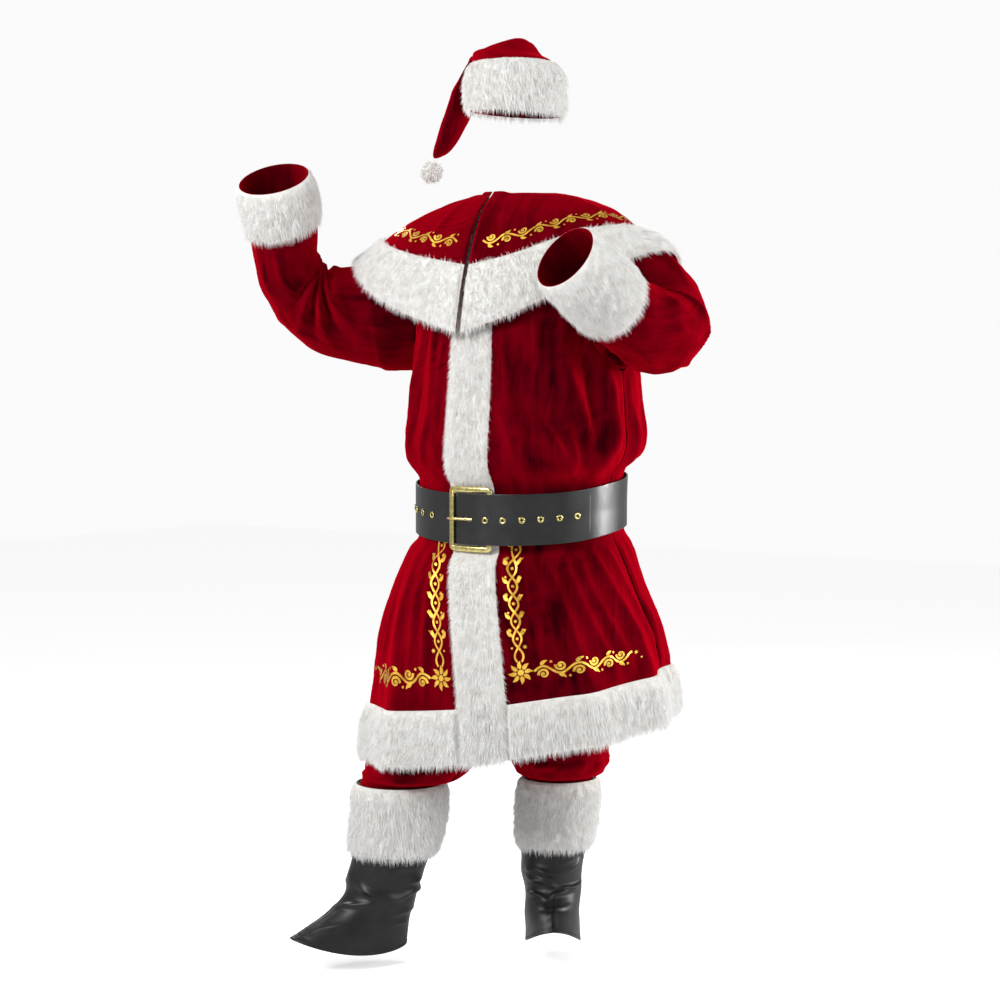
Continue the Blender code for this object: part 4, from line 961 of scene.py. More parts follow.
# %% Fur down the front and round the hem
rows = np.linspace(COAT_HEM, COAT_TOP, 240)[:, None]
share = np.linspace(-1, 1, 22)[None, :]
u, h = np.broadcast_arrays(share * placket_edge(rows), rows)
p, n = torso(u, h), normals(torso, u, h)
pressed = 1 - 0.86 * np.exp(-(((rows - BELT_HEIGHT) / 0.085) ** 6))
top = fur_height(np.linspace(0, 1, 22)[None, :], 0.5, 0.017) * pressed * (1 - 0.5 * ramp(rows, 1.25, 1.40))
comb = down(p, 0.9 * unit(np.gradient(p, axis=1)) * (share**3)[..., None])
fur_strip("front_fur", p, n, np.maximum(top, 0.0016), comb, 2, density=72000)
rows = np.linspace(COAT_HEM, FUR_TOP, 24)[:, None]
edge, far = side_edge(rows) - seam(SIDE_GAP, rows), placket_edge(rows)
start = seam(0.0006, rows)
left_u = far + start + np.linspace(0, 1, 76)[None, :] * (edge - far - start)
back_u = 180.0 - edge + np.linspace(0, 1, 190)[None, :] * 2 * edge
for side, u, wide in (("front_left", left_u, 0.42), ("front_right", -left_u[:, ::-1], 0.42), ("back", back_u, 0.95)):
    name = "hem_fur_" + side.replace("front_", "")
    h = np.broadcast_to(rows, u.shape)
    p, n = torso(u, h), normals(torso, u, h)
    fur_strip(name, p, n, band_height(p, 0.022), down(p), len(name))

# %% [markdown]
# ## Sleeves
# Each sleeve is one tapered tube that starts as its own armhole in the coat and bends at the elbow. The right one is raised, its
# cuff up, and the left is folded in front. Cloth crowds into short rings inside the elbow and stretches over it.

# %% Sleeve tables
# Each row: the point on the crook's side, the point on the elbow's side, and half the width the other way
RIGHT_ARM = [
    (seen(-0.285, 0.100, 1.420), seen(-0.270, 0.110, 1.190), 0.085),
    (seen(-0.335, 0.105, 1.402), seen(-0.335, 0.125, 1.205), 0.084),
    (seen(-0.385, 0.105, 1.393), seen(-0.405, 0.125, 1.224), 0.083),
    (seen(-0.405, 0.095, 1.402), seen(-0.472, 0.110, 1.270), 0.080),
    (seen(-0.412, 0.080, 1.420), seen(-0.515, 0.085, 1.335), 0.076),
    (seen(-0.411, 0.055, 1.448), seen(-0.536, 0.058, 1.405), 0.071),
    (seen(-0.407, 0.025, 1.492), seen(-0.543, 0.028, 1.462), 0.068),
    (seen(-0.412, -0.005, 1.538), seen(-0.550, 0.000, 1.512), 0.067),
    (seen(-0.420, -0.030, 1.578), seen(-0.558, -0.022, 1.555), 0.068),
]
LEFT_ARM = [
    ((0.285, -0.060, 1.335), (0.205, 0.078, 1.330), 0.118),
    ((0.290, -0.050, 1.325), (0.262, 0.098, 1.300), 0.104),
    ((0.284, -0.045, 1.317), (0.318, 0.104, 1.256), 0.094),
    ((0.276, -0.047, 1.314), (0.358, 0.072, 1.219), 0.088),
    ((0.268, -0.056, 1.320), (0.368, 0.018, 1.216), 0.081),
    ((0.259, -0.072, 1.331), (0.359, -0.052, 1.233), 0.075),
    ((0.252, -0.112, 1.357), (0.338, -0.132, 1.273), 0.070),
    ((0.238, -0.160, 1.394), (0.318, -0.204, 1.323), 0.067),
    ((0.219, -0.208, 1.430), (0.297, -0.258, 1.366), 0.066),
]
# Large bulges of the sleeves: place along, degrees from the elbow side, their half sizes, height out
RIGHT_BULGES = (
    *((1.6, 150, 0.35, 60, 0.005), (2.4, 40, 0.4, 50, 0.006), (3.3, -60, 0.35, 55, 0.006)),
    *((4.4, 30, 0.4, 60, 0.005), (5.2, -120, 0.35, 60, 0.005)),
)
LEFT_BULGES = (
    *((1.7, -90, 0.35, 55, 0.006), (2.7, 60, 0.4, 50, 0.006), (3.8, -50, 0.35, 55, 0.006)),
    *((4.9, 70, 0.35, 55, 0.005), (5.8, -30, 0.35, 60, 0.004)),
)

# Small creases of each sleeve: place along and degrees round at start and end, bend, half width, height out
RIGHT_CREASES = (
    (2.6, 140, 3.3, 215, 0.005, 0.007, 0.0065),
    (3.2, 128, 3.9, 205, -0.005, 0.007, 0.0070),
    (3.7, 150, 4.4, 230, 0.004, 0.007, 0.0070),
    (4.3, 130, 4.9, 212, -0.004, 0.007, 0.0065),
    (4.9, 145, 5.5, 215, 0.004, 0.007, 0.0055),
    (3.4, -45, 4.6, -12, 0.006, 0.007, 0.0055),
    (3.5, 50, 4.8, 18, -0.006, 0.007, 0.0055),
    (4.4, -80, 7.0, -55, 0.010, 0.009, 0.0065),
    (4.5, -25, 7.0, -12, -0.010, 0.009, 0.0060),
    (4.6, 35, 7.0, 30, 0.010, 0.009, 0.0065),
    (4.7, 88, 7.0, 76, -0.010, 0.009, 0.0065),
    (5.2, -130, 7.0, -110, 0.008, 0.008, 0.0055),
)
# Folds that fan out from the crook of the raised sleeve, alike on both sides: place and degrees at the outer end, height
CROOK_FAN = ((1.2, 66, 0.0095), (1.8, 54, -0.0080), (2.4, 42, 0.0105), (3.0, 34, -0.0085), (3.6, 26, 0.0100), (4.4, 28, -0.0060))
for s in (-1, 1):
    for k, (place, turn, high) in enumerate(CROOK_FAN):
        RIGHT_CREASES += ((4.2 + 0.1 * k, s * (166 - 4 * k), place, s * turn, s * 0.010, 0.0095, high),)
LEFT_CREASES = (
    (0.4, -128, 2.9, -96, 0.010, 0.008, 0.0070),
    (0.5, -92, 3.4, -60, 0.010, 0.008, 0.0075),
    (0.4, -58, 3.8, -30, -0.010, 0.008, 0.0080),
    (0.5, -26, 4.0, -8, 0.010, 0.008, 0.0080),
    (0.4, 6, 3.9, 16, -0.008, 0.008, 0.0080),
    (0.5, 38, 3.7, 42, 0.008, 0.008, 0.0075),
    (0.4, 70, 3.4, 68, -0.008, 0.008, 0.0075),
    (0.5, 104, 3.0, 98, 0.008, 0.008, 0.0070),
    (2.6, 140, 3.4, 215, 0.004, 0.007, 0.0065),
    (3.3, 130, 4.0, 222, -0.005, 0.007, 0.0070),
    (4.0, 142, 4.7, 228, 0.004, 0.007, 0.0065),
    (4.7, 132, 5.3, 210, -0.004, 0.007, 0.0060),
    (3.5, -40, 4.8, -6, 0.005, 0.006, 0.0060),
    (3.6, 44, 4.9, 12, -0.005, 0.006, 0.0060),
    (4.3, -85, 6.9, -60, 0.010, 0.008, 0.0065),
    (4.6, -30, 6.9, -22, -0.008, 0.008, 0.0060),
    (4.7, 30, 6.9, 26, 0.008, 0.008, 0.0065),
    (4.6, 84, 6.9, 72, -0.008, 0.008, 0.0065),
    (5.2, -135, 6.9, -118, 0.008, 0.008, 0.0055),
)


def tube_table(table):
    """Centre, half axis to the outside, half axis sideways and half width of a bent tube, at any place along it."""
    t = np.array([(*row[0], *row[1], row[2]) for row in table], float)
    knots = np.arange(len(t), dtype=float)

    def at(q):
        return np.stack([curve(knots, t[:, k], q) for k in range(7)], -1)

    def section(q):
        now = at(q)
        ahead, behind = at(q + 0.05), at(q - 0.05)
        middle = (now[..., :3] + now[..., 3:6]) / 2
        along = (ahead[..., :3] + ahead[..., 3:6] - behind[..., :3] - behind[..., 3:6]) / 2
        out = (now[..., 3:6] - now[..., :3]) / 2
        side = unit(np.cross(unit(along), out)) * now[..., 6:7]
        return middle, out, side

    return section


def sleeve_surface(side, table, bulges):
    """A sleeve from its armhole (v = 0) into the rows of its table (v = 1 on). turn runs 0 to 1 round it."""
    section = tube_table(table)

    def armhole(turn):
        ring = 2 * math.pi * turn - math.pi / 2
        return torso(side * (90.0 - (ARM_WIDE - 0.27) * np.cos(ring)), ARM_MIDDLE + (ARM_HALF - 0.0009) * np.sin(ring))

    hole = armhole(np.arange(20) / 20)
    centre = hole.mean(axis=0)
    middle, out, wide = (a[0] for a in section(np.array([0.0])))
    flat = np.stack([(hole - centre) @ unit(out), (hole - centre) @ unit(wide)], -1)
    angle = np.unwrap(np.arctan2(flat[:, 1], flat[:, 0]))
    way = 1.0 if angle[-1] > angle[0] else -1.0
    start = np.mean(angle - way * np.arange(20) * 2 * math.pi / 20)

    def surface(turn, v):
        turn, v = np.broadcast_arrays(np.asarray(turn, float), np.asarray(v, float))
        q = np.maximum(v - 1.0, 0.0)
        middle, out, wide = section(q)
        a = start + way * turn * 2 * math.pi
        first = section(np.zeros_like(q))[0]
        bulge = np.zeros(turn.shape)
        for place, at, long, broad, depth in bulges:
            away = around(np.degrees(a) - at - 25 * (q - place))
            bulge += depth * np.exp(-(((q - place) / long) ** 2) - (away / broad) ** 2)
        ringed = out * np.cos(a)[..., None] + wide * np.sin(a)[..., None]
        ringed = ringed + unit(ringed) * bulge[..., None]
        near = np.clip(v, 0, 1)[..., None]
        core = np.where(v[..., None] < 1, centre * (1 - near) + first * near, middle)
        w = ramp(v, 0.0, 1.3)[..., None]
        return core + (armhole(turn) - centre) * (1 - w) + ringed * w, np.degrees(a)

    return surface


# %% Sleeves and cuffs
CUFF_FROM = 7.05
SLEEVES = (
    (-1, "right", RIGHT_ARM, RIGHT_BULGES, RIGHT_CREASES, ("sleeve_right_upper", "sleeve_right_lower")),
    (1, "left", LEFT_ARM, LEFT_BULGES, LEFT_CREASES, ("sleeve_left",)),
)
for side, name, table, bulges, small, nodes in SLEEVES:
    surface = sleeve_surface(side, table, bulges)
    turn, v = np.meshgrid(np.arange(78) / 78, np.linspace(0, 9, 130))
    p, a = surface(turn, v)
    n = outward(p, closed=True)
    out = 1.2 * tube_creases(small, around(a), v, 0.0014, 0.055)
    out += 0.0012 * smooth_noise(p, 0.035) + 0.0006 * smooth_noise(p, 0.014, 7.0)
    p = p + (out * ramp(v, 0.1, 0.7) * (1 - ramp(v, 6.6, 7.2)))[..., None] * n
    cloth = f"sleeve_{name}_cloth"
    ob = piece(shell(cloth, p, outward(p, closed=True), CLOTH, closed=True), VELVET, "velvet", *nodes)
    turn, v = np.meshgrid(np.arange(100) / 100, np.linspace(CUFF_FROM, 9, 26))
    p, _ = surface(turn, v)
    n = outward(p, closed=True)
    comb = -0.8 * unit(np.gradient(p, axis=0)) + (0, 0, -0.6)
    fur_strip("cuff_" + name, p, n, band_height(p, 0.017), comb, 3, closed=True, spilled=0.4)

# %% [markdown]
# ## Shoulder cape
# A round cape lies over the shoulders, open at the front, with a wide band of fur along its edge. It is worked out as it would
# hang with nothing under it, then pushed off the coat and sleeves wherever it would dip into them, and eased between.

# %% Cape form
# Where its edge hangs, by direction from the front towards the left: x, y, height
CAPE_EDGE = (
    (1.2, 0.0050, -0.213, 1.262),
    (25, 0.095, -0.200, 1.285),
    (45, 0.165, -0.165, 1.318),
    (62, 0.212, -0.108, 1.374),
    (78, 0.290, -0.050, 1.418),
    (92, 0.335, 0.020, 1.408),
    (108, 0.325, 0.095, 1.372),
    (130, 0.245, 0.165, 1.315),
    (155, 0.120, 0.198, 1.275),
    (180, 0.000, 0.205, 1.262),
    (205, -0.120, 0.200, 1.275),
    (232, -0.235, 0.165, 1.305),
    (255, -0.315, 0.090, 1.350),
    (275, -0.362, 0.000, 1.385),
    (293, -0.366, -0.094, 1.395),
    (310, -0.318, -0.180, 1.372),
    (328, -0.212, -0.222, 1.318),
    (345, -0.100, -0.222, 1.280),
    (358.8, -0.0050, -0.216, 1.262),
)
CAPE_COLUMNS = 39
CAPE_ROWS = np.array([0.0, 0.12, 0.26, 0.41, 0.56, 0.70, 0.80, 0.90, 1.0])


def cape_grid(columns, rows):
    """The cape as it would hang with nothing under it, from the neck out to its edge."""
    t = np.array(CAPE_EDGE)
    spread = np.linspace(t[0, 0], t[-1, 0], columns)
    edge = np.stack([curve(t[:, 0], t[:, k], spread) for k in (1, 2, 3)], -1)
    a = np.radians(spread)
    neck = np.stack([0.0975 * np.sin(a), -0.0895 * np.cos(a), np.full(columns, 1.535)], -1)
    over = np.stack([edge[:, 0] * 0.72, edge[:, 1] * 0.80, 1.515 + 0.02 * ramp(edge[:, 0], 0.05, 0.2)], -1)
    v = rows[:, None, None]
    return neck * (1 - v) ** 2 + 2 * over * v * (1 - v) + edge * v * v


def tree_of(skins):
    """The outer faces of some sheets, each with whether it closes, to keep another sheet off them."""
    verts, faces = [], []
    for skin, closed in skins:
        rows, cols = skin.shape[:2]
        start = len(verts)
        a = np.cross(skin[1:, 0] - skin[:-1, 0], skin[:-1, 1] - skin[:-1, 0])
        flip = np.sum(a * (skin[:-1, 0] - skin.mean(axis=1)[:-1])) > 0
        verts += [Vector(v) for v in skin.reshape(-1, 3)]
        for i in range(rows - 1):
            for j in range(cols if closed else cols - 1):
                low, high = start + i * cols, start + (i + 1) * cols
                k = (j + 1) % cols
                face = [low + j, low + k, high + k, high + j]
                faces.append(face[::-1] if flip else face)
    return BVHTree.FromPolygons(verts, faces)


def keep_off(points, tree, gap, rounds, smooth):
    """Moves the points of a sheet out until each is the gap away from what lies under it."""
    p = points.copy()
    for turn in range(rounds):
        if smooth and turn:
            even = p.copy()
            even[1:-1, 1:-1] = (p[:-2, 1:-1] + p[2:, 1:-1] + p[1:-1, :-2] + p[1:-1, 2:]) / 4
            even[-1, 1:-1] = (p[-1, :-2] + p[-1, 2:]) / 2
            p += smooth * (even - p)
        for index in np.ndindex(p.shape[:2]):
            point = Vector(p[index])
            place, normal, _, _ = tree.find_nearest(point)
            side = (point - place).dot(normal)
            away = (point - place).length * (1 if side >= 0 else -1)
            if away < gap[index]:
                push = (point - place).normalized() * (1 if side >= 0 else -1) if abs(away) > 1e-5 else normal
                if push.z < -0.1:
                    push = normal
                p[index] += np.array(push) * (gap[index] - away)
    return p


def between(p, places, axis):
    """Smooth values between the rows (axis 0) or columns (axis 1) of a grid, at fractional places."""
    p = np.moveaxis(p, axis, 0)
    k = np.clip(np.floor(places).astype(int), 0, len(p) - 2)
    f = (np.asarray(places) - k).reshape((-1,) + (1,) * (p.ndim - 1))
    slope = np.gradient(p, axis=0)
    ends = p[k] * (1 + 2 * f) * (1 - f) ** 2 + p[k + 1] * f * f * (3 - 2 * f)
    return np.moveaxis(ends + slope[k] * f * (1 - f) ** 2 - slope[k + 1] * f * f * (1 - f), 0, axis)


hole_rows = ARM_MIDDLE + ARM_HALF * np.sin(np.radians(np.arange(-90, 91, 18.0)))
rows = np.array([COAT_HEM, 0.62, 0.79, 0.842, 0.957, 0.982, 1.025, 1.10, *hole_rows, 1.497, COAT_TOP])[:, None]
edge, near, far = side_edge(rows), seam(FRONT_GAP, rows), placket_edge(rows)
front_u = np.concatenate([near, far / 2, far + np.linspace(0, 1, 6)[None, :] * (edge - far)], axis=1)
back_u = 180.0 - edge + np.linspace(0, 1, 16)[None, :] * 2 * edge
strip_u, strip_h = np.broadcast_arrays(np.linspace(-1, 1, 5)[None, :] * far, rows)
under = [(torso(u, rows), False) for u in (front_u, -front_u[:, ::-1], back_u)]
pile = fur_height(np.linspace(0, 1, 5)[None, :], 0.5, 0.017) * (1 - 0.5 * ramp(rows, 1.25, 1.40))
strip = torso(strip_u, rows) + (GAP + np.maximum(pile, 0.0014))[..., None] * normals(torso, strip_u, strip_h)
under.append((strip, False))
places = [0, 0.4, 0.85, 1.4, 2.0, 2.7, 3.4, 4.1, 4.8, 5.6, 6.3, CUFF_FROM, 7.7, 8.35, 9.0]
for side, name, table, bulges, *rest in SLEEVES:
    turn, v = np.meshgrid(np.arange(20) / 20, places)
    under.append((sleeve_surface(side, table, bulges)(turn, v)[0], True))
below = tree_of(under)
room = np.full((len(CAPE_ROWS), CAPE_COLUMNS), 0.0089)
room[0] = 0.0027
cape = keep_off(cape_grid(CAPE_COLUMNS, CAPE_ROWS), below, room, 16, 0.35)
cape = keep_off(cape, below, room, 4, 0.0)

# %% Cape cloth and its fur
def cape_sheet(places, columns):
    """The cape's surface between its grid's rows and columns, with its normals."""
    p = between(between(cape, places, 0), np.linspace(0, CAPE_COLUMNS - 1, columns), 1)
    n = grid_normals(p, False)
    return p, -n if np.sum(n[..., 2]) < 0 else n


p, n = cape_sheet(np.interp(np.linspace(0, 1, 44), CAPE_ROWS, np.arange(len(CAPE_ROWS))), 180)
across, up = np.meshgrid(np.linspace(0, 2.0, p.shape[1]), np.linspace(0, 0.27, p.shape[0]))
CAPE_CREASES = []
for k in range(16):
    start, top, end = 0.1 + 0.118 * k, 0.02 + 0.01 * math.sin(2.1 * k), 0.1 + 0.118 * k + 0.02 * math.cos(1.7 * k)
    CAPE_CREASES.append((start, top, end, 0.19, 0.006 * math.sin(3.3 * k), 0.010, 0.0042 + 0.001 * math.sin(1.3 * k)))
out = creases(CAPE_CREASES, across, up) + 0.0010 * smooth_noise(p, 0.03)
out = out * ramp(up, 0.0, 0.03) * (1 - ramp(up, 0.15, 0.19))
p = p + out[..., None] * n
ob = piece(shell("cape_cloth", p, n, CLOTH), VELVET, "velvet", "cape")
BORDER_ROW, BORDER_AT, ROW_METRES = 25, 24.0, 0.0072
edge_run = run_along(p[BORDER_ROW])


def on_cape(points, p=p, n=n):
    """Where the border's points lie on the cape: along its edge and up from it."""
    return on_grid(p, n, BORDER_AT + points[:, 1] / ROW_METRES, np.interp(points[:, 0], edge_run, np.arange(len(edge_run))))


printed("gold_border_cape", laid(scroll_run(float(edge_run[-1]) - 0.05, 0.85), 0.02, 0.0, 0), on_cape)
p, n = cape_sheet(np.linspace(5, len(CAPE_ROWS) - 1, 28), 380)
top = fur_height(np.linspace(0, 1, p.shape[0])[:, None], np.linspace(0, 1, p.shape[1])[None, :], 0.015)
fur_strip("cape_fur", p, n, top, unit(np.gradient(p, axis=0)), 4)

# %% [markdown]
# ## Belt
# A wide strap of satin-finished imitation leather goes round the waist and through a square brass buckle. Its end folds round
# the hinge bar, and the long tail lies over the strap with the spare eyelets showing.

# %% Vinyl and brass


def satin(name, scale, span, tones, gloss, **sockets):
    """A smooth finish whose colour and gloss drift a little over its surface. Returns what its grain needs too."""
    made, tree, shader = finish_of(name, IOR=1.5, **sockets)
    where = add(tree, "ShaderNodeTexCoord").outputs["Object"]
    soft = clouds(tree, where, Scale=scale, Detail=4.0, Roughness=0.6)
    tree.links.new(tinted(tree, soft, *span, *tones), shader.inputs["Base Color"])
    drift = add(tree, "ShaderNodeMapRange", values={"To Min": gloss[0], "To Max": gloss[1]}, links={"Value": soft})
    tree.links.new(drift.outputs["Result"], shader.inputs["Roughness"])
    return made, tree, shader, where, soft


def vinyl(name, base, worn, rough, grain, level):
    """Imitation leather with a fine grain."""
    gloss = (rough - 0.07, rough + 0.09)
    made, tree, shader, where, soft = satin(name, 22.0, (0.35, 0.75), (base, worn), gloss, Specular_IOR_Level=level)
    cells = add(tree, "ShaderNodeTexVoronoi", values={"Scale": 1 / grain}, links={"Vector": where}).outputs["Distance"]
    tree.links.new(bumped(tree, cells, 0.14, 0.0004), shader.inputs["Normal"])
    return made


def brass(name, base, worn, rough):
    """Polished brass, a little worn."""
    gloss = (rough - 0.06, rough + 0.10)
    made, tree, shader, where, soft = satin(name, 140.0, (0.3, 0.7), (worn, base), gloss, Metallic=1.0)
    tree.links.new(bumped(tree, soft, 0.03, 0.0002), shader.inputs["Normal"])
    return made


BELT_VINYL = vinyl("black satin imitation leather", "#0a0b0c", "#17181b", 0.29, 0.0011, 0.80)
BOOT_VINYL = vinyl("black matt imitation leather", "#0b0b0c", "#1b1b1c", 0.42, 0.0013, 0.42)
BRASS = brass("polished pale brass", "#f2e6a4", "#cbb566", 0.24)
THREAD, tree, shader = finish_of("black thread", Roughness=0.7)
where = add(tree, "ShaderNodeTexCoord").outputs["Object"]
twist = add(tree, "ShaderNodeTexWave", values={"Scale": 700.0, "Distortion": 1.0}, links={"Vector": where}).outputs["Fac"]
tree.links.new(tinted(tree, twist, 0, 1, "#101011", "#333336"), shader.inputs["Base Color"])

# %% The strap's line
BELT_A, BELT_B, STRAP = 0.2116, 0.1846, 0.003


def belt_point(azimuth, out, up):
    """azimuth in degrees, out in metres from the belt's own line, up in metres from its middle."""
    a = np.radians(azimuth)
    squeeze = (np.abs(np.sin(a)) ** SHAPE + np.abs(np.cos(a)) ** SHAPE) ** (-1 / SHAPE)
    lean = 0.03 * ramp(np.abs(around(azimuth - 100.0)), 70.0, 20.0) * np.maximum(up, 0)
    x, y = np.sin(a) * (BELT_A * squeeze + out + lean), -np.cos(a) * (BELT_B * squeeze + out + lean)
    return np.stack(np.broadcast_arrays(x, y, BELT_HEIGHT + belt_line(azimuth) + up), -1)


# azimuth and out, from the strap's end round the hinge bar, all round, under the free bar, and on as the tail
TURN = ((27.0, 0.0102), (22.0, 0.0102), (16.0, 0.0102), (12.6, 0.0094), (11.0, 0.0072), (10.6, 0.0048), (11.2, 0.0022))
UNDER_BAR = ((340.0, 0.0003), (346.0, 0.0008), (352.0, 0.0016), (356.0, 0.0030), (358.0, 0.0043), (360.0, 0.0056), (363.0, 0.0083))
TAIL = ((366.0, 0.0112), (370.0, 0.0136), (376.0, 0.0138), (382.0, 0.0138), (388.0, 0.0132), (393.0, 0.0090), (398.0, 0.0050))
TAIL_END = ((404.0, 0.0038), *((a, 0.0037) for a in (410, 416, 422, 426, 430)))
ROUND = ((13.0, 0.0004), (17.0, 0.0), *((a, 0.0) for a in range(24, 338, 7)))
STRAP_LINE = np.array([*TURN, *ROUND, *UNDER_BAR, *TAIL, *TAIL_END])


def strap_at(index):
    """Azimuth and out at a fractional place along the strap's line."""
    return between(STRAP_LINE, np.atleast_1d(index), 0)


# %% Strap
fine = np.concatenate([np.linspace(0, 8, 50), np.linspace(8, 53, 170)[1:], np.linspace(53, len(STRAP_LINE) - 1, 130)[1:]])
line = strap_at(fine)
half = np.array([0.04, 0.085, *np.linspace(0.14, 0.9, 4), 0.955, 0.985, 1])
level = np.concatenate([-half[::-1], half])[:, None] * (BELT_HALF - 0.001) * np.ones(len(line))
end = np.clip((line[:, 0] - 426.5) / 3.5, 0, 1)
level = level * (1 - 0.30 * end**2.2)[None, :]
azimuth, out = (line[:, k] * np.ones_like(level) for k in (0, 1))
sag = 0.0006 * np.sin(np.radians(azimuth * 5)) * (level / BELT_HALF) ** 2
mid = belt_point(azimuth, out, level + sag)
side = unit(np.cross(np.gradient(mid, axis=1), np.gradient(mid, axis=0)))
outer = mid + STRAP / 2 * side
cell = (line[:-1, 0] + line[1:, 0]) / 2
slots = ((cell > 10.3) & (cell < 15.5) & (fine[:-1] < 8.5)) | ((cell > 358.0) & (cell < 365.0))
open_cells = np.zeros((len(level) - 1, len(line) - 1), bool)
open_cells[7:10] = slots[None, :]
strap = shell("belt_strap_leather", outer, side, STRAP, left_out=open_cells)
edge = strap.modifiers.new("rounded edge", "BEVEL")
edge.width, edge.segments, edge.angle_limit = 0.0007, 2, math.radians(50)
piece(strap, BELT_VINYL, "vinyl", "belt_strap")
run = run_along(belt_point(line[:, 0], line[:, 1], 0 * line[:, 0]))[-1]
print("strap length", round(run, 3))

# %% [markdown]
# ## Buckle and eyelets
# The buckle is a square frame of rounded brass bar, and its prong turns on the bar nearer the left. Each eyelet is a
# rolled brass ring pressed through the strap.

# %% Bars


def weld(work):
    bmesh.ops.remove_doubles(work, verts=work.verts, dist=1e-6)


def cap(work):
    bmesh.ops.holes_fill(work, edges=[e for e in work.edges if e.is_boundary], sides=0)
    bmesh.ops.recalc_face_normals(work, faces=work.faces)


def bar(name, path, rise, half_wide, half_thick, closed, node):
    """A rounded brass bar along a line of points on the belt, broad across and thinner outwards, with domed ends."""
    azimuth, up = path.T
    centres = belt_point(azimuth, rise, up)
    out = belt_point(azimuth, rise + 0.01, up) - centres
    along = unit(np.roll(centres, -1, 0) - np.roll(centres, 1, 0)) if closed else unit(np.gradient(centres, axis=0))
    out = unit(out - np.sum(out * along, -1, keepdims=True) * along)
    wide = np.cross(along, out)
    a = 2 * np.pi * np.arange(16) / 16
    squeeze = (np.abs(np.cos(a)) ** 3 + np.abs(np.sin(a)) ** 3) ** (-1 / 3)
    size = np.ones(len(centres))
    if not closed:
        size[0] = size[-1] = 0.35
    across, outwards = (half_wide * np.cos(a) * squeeze)[:, None], (half_thick * np.sin(a) * squeeze)[:, None]
    p = centres[:, None] + size[:, None, None] * (across * wide[:, None] + outwards * out[:, None])
    if np.dot(np.cross(p[0, 1] - p[0, 0], p[1, 0] - p[0, 0]), p[0, 0] - centres[0]) < 0:
        p = p[::-1]
    ob = grid_mesh(name, np.concatenate([p, p[:1]]) if closed else p, closed=True)
    edit(ob.data, weld if closed else cap)
    return piece(ob, BRASS, "brass", node)


corners = []
for azimuth, up, first in ((14.3, 0.0575, 0), (-8.5, 0.0575, 90), (-8.5, -0.0575, 180), (14.3, -0.0575, 270)):
    for a in np.radians(first + np.arange(0, 91, 15)):
        inward, shorter = 1.6 * (1 - abs(math.cos(a))), 0.005 * (1 - abs(math.sin(a)))
        corners.append((azimuth - math.copysign(inward, azimuth - 3), up - math.copysign(shorter, up)))
path = []
for k, (azimuth, up) in enumerate(corners):
    path.append((azimuth, up))
    if k % 7 == 6:
        to = corners[(k + 1) % len(corners)]
        path += [(azimuth + (to[0] - azimuth) * f, up + (to[1] - up) * f) for f in np.linspace(0, 1, 8)[1:-1]]
path = np.array(path)
bar_out = curve([-8.5, 3.0, 14.3], [0.0066, 0.0060, 0.0051], path[:, 0])
bar("buckle_frame_brass", path, bar_out, 0.0056, 0.0028, True, "buckle_frame")
prong = np.array([(12.3, 0.0050), (8.0, 0.0050), (4.0, 0.0052), (0.5, 0.0075), (-3.5, 0.0106), (-6.5, 0.0122), (-10.5, 0.0122)])
prong = between(prong, np.linspace(0, 6, 31), 0)
bar("buckle_prong_brass", prong * (1, 0), prong[:, 1], 0.0026, 0.0022, False, "buckle_prong")

# %% Eyelets
FIRST_EYELET, EYELET_PITCH, EYELET_LIFT = 0.030, 0.0365, 0.0011
line_azimuth, line_out = STRAP_LINE.T
run = run_along(belt_point(line_azimuth, line_out, 0 * line_azimuth))
places, ways, numbers = [], [], []
for k in range(14):
    azimuth, out = (float(curve(run, column, run[-1] - FIRST_EYELET - k * EYELET_PITCH)) for column in (line_azimuth, line_out))
    if 344 < azimuth < 372:
        continue
    behind, ahead = (belt_point(a, curve(line_azimuth, line_out, a), 0.0) for a in (azimuth - 1, azimuth + 1))
    way = unit(np.cross(unit(ahead - behind), np.array([0.0, 0.0, 1.0])))
    places.append(belt_point(azimuth, out, 0.0) + (STRAP / 2 + EYELET_LIFT) * way)
    ways.append(way)
    numbers.append(k + 1)
verts, faces = [], []
for i in range(28):
    spin = 2 * math.pi * i / 28
    for j in range(8):
        a = 2 * math.pi * j / 8
        r = 0.0047 + 0.0019 * math.cos(a)
        verts.append((r * math.cos(spin), r * math.sin(spin), 0.0011 * math.sin(a)))
        b, c = (i + 1) % 28 * 8, (j + 1) % 8
        faces.append((i * 8 + j, b + j, b + c, i * 8 + c))
ring_mesh = bpy.data.meshes.new("eyelet ring")
ring_mesh.from_pydata(verts, [], faces)
ring_mesh.shade_smooth()
ring = bpy.data.objects.new("eyelet ring", ring_mesh)


def placed_tree():
    """Puts an object on each point, with its Z axis along the stored direction."""
    tree, start, end = group("one at each point", Shape="Object", Finish="Material")
    turn = add(tree, "FunctionNodeAlignRotationToVector", {"axis": "Z"}, links={"Vector": stored(tree, "way")}).outputs["Rotation"]
    put_on(tree, start["Shape"], start["Finish"], end, Points=start["Geometry"], Rotation=turn)
    return tree


PLACED = placed_tree()


def row_of(name, points, ways, shape, finish):
    """A copy of a shape at each point, turned along its direction."""
    seeds = bpy.data.meshes.new(name + "_places")
    seeds.from_pydata(sunk(points).tolist(), [], [])
    store(seeds, way=ways)
    return grown(name, bpy.data.objects.new(name + "_places", seeds), PLACED, Shape=shape, Finish=finish)


eyelets = row_of("eyelets", np.array(places), np.array(ways), ring, BRASS)
eyelets.data.shade_smooth()
piece(eyelets, BRASS, "brass", *[f"eyelet_{k:02d}" for k in numbers])
print(len(numbers), "eyelets")

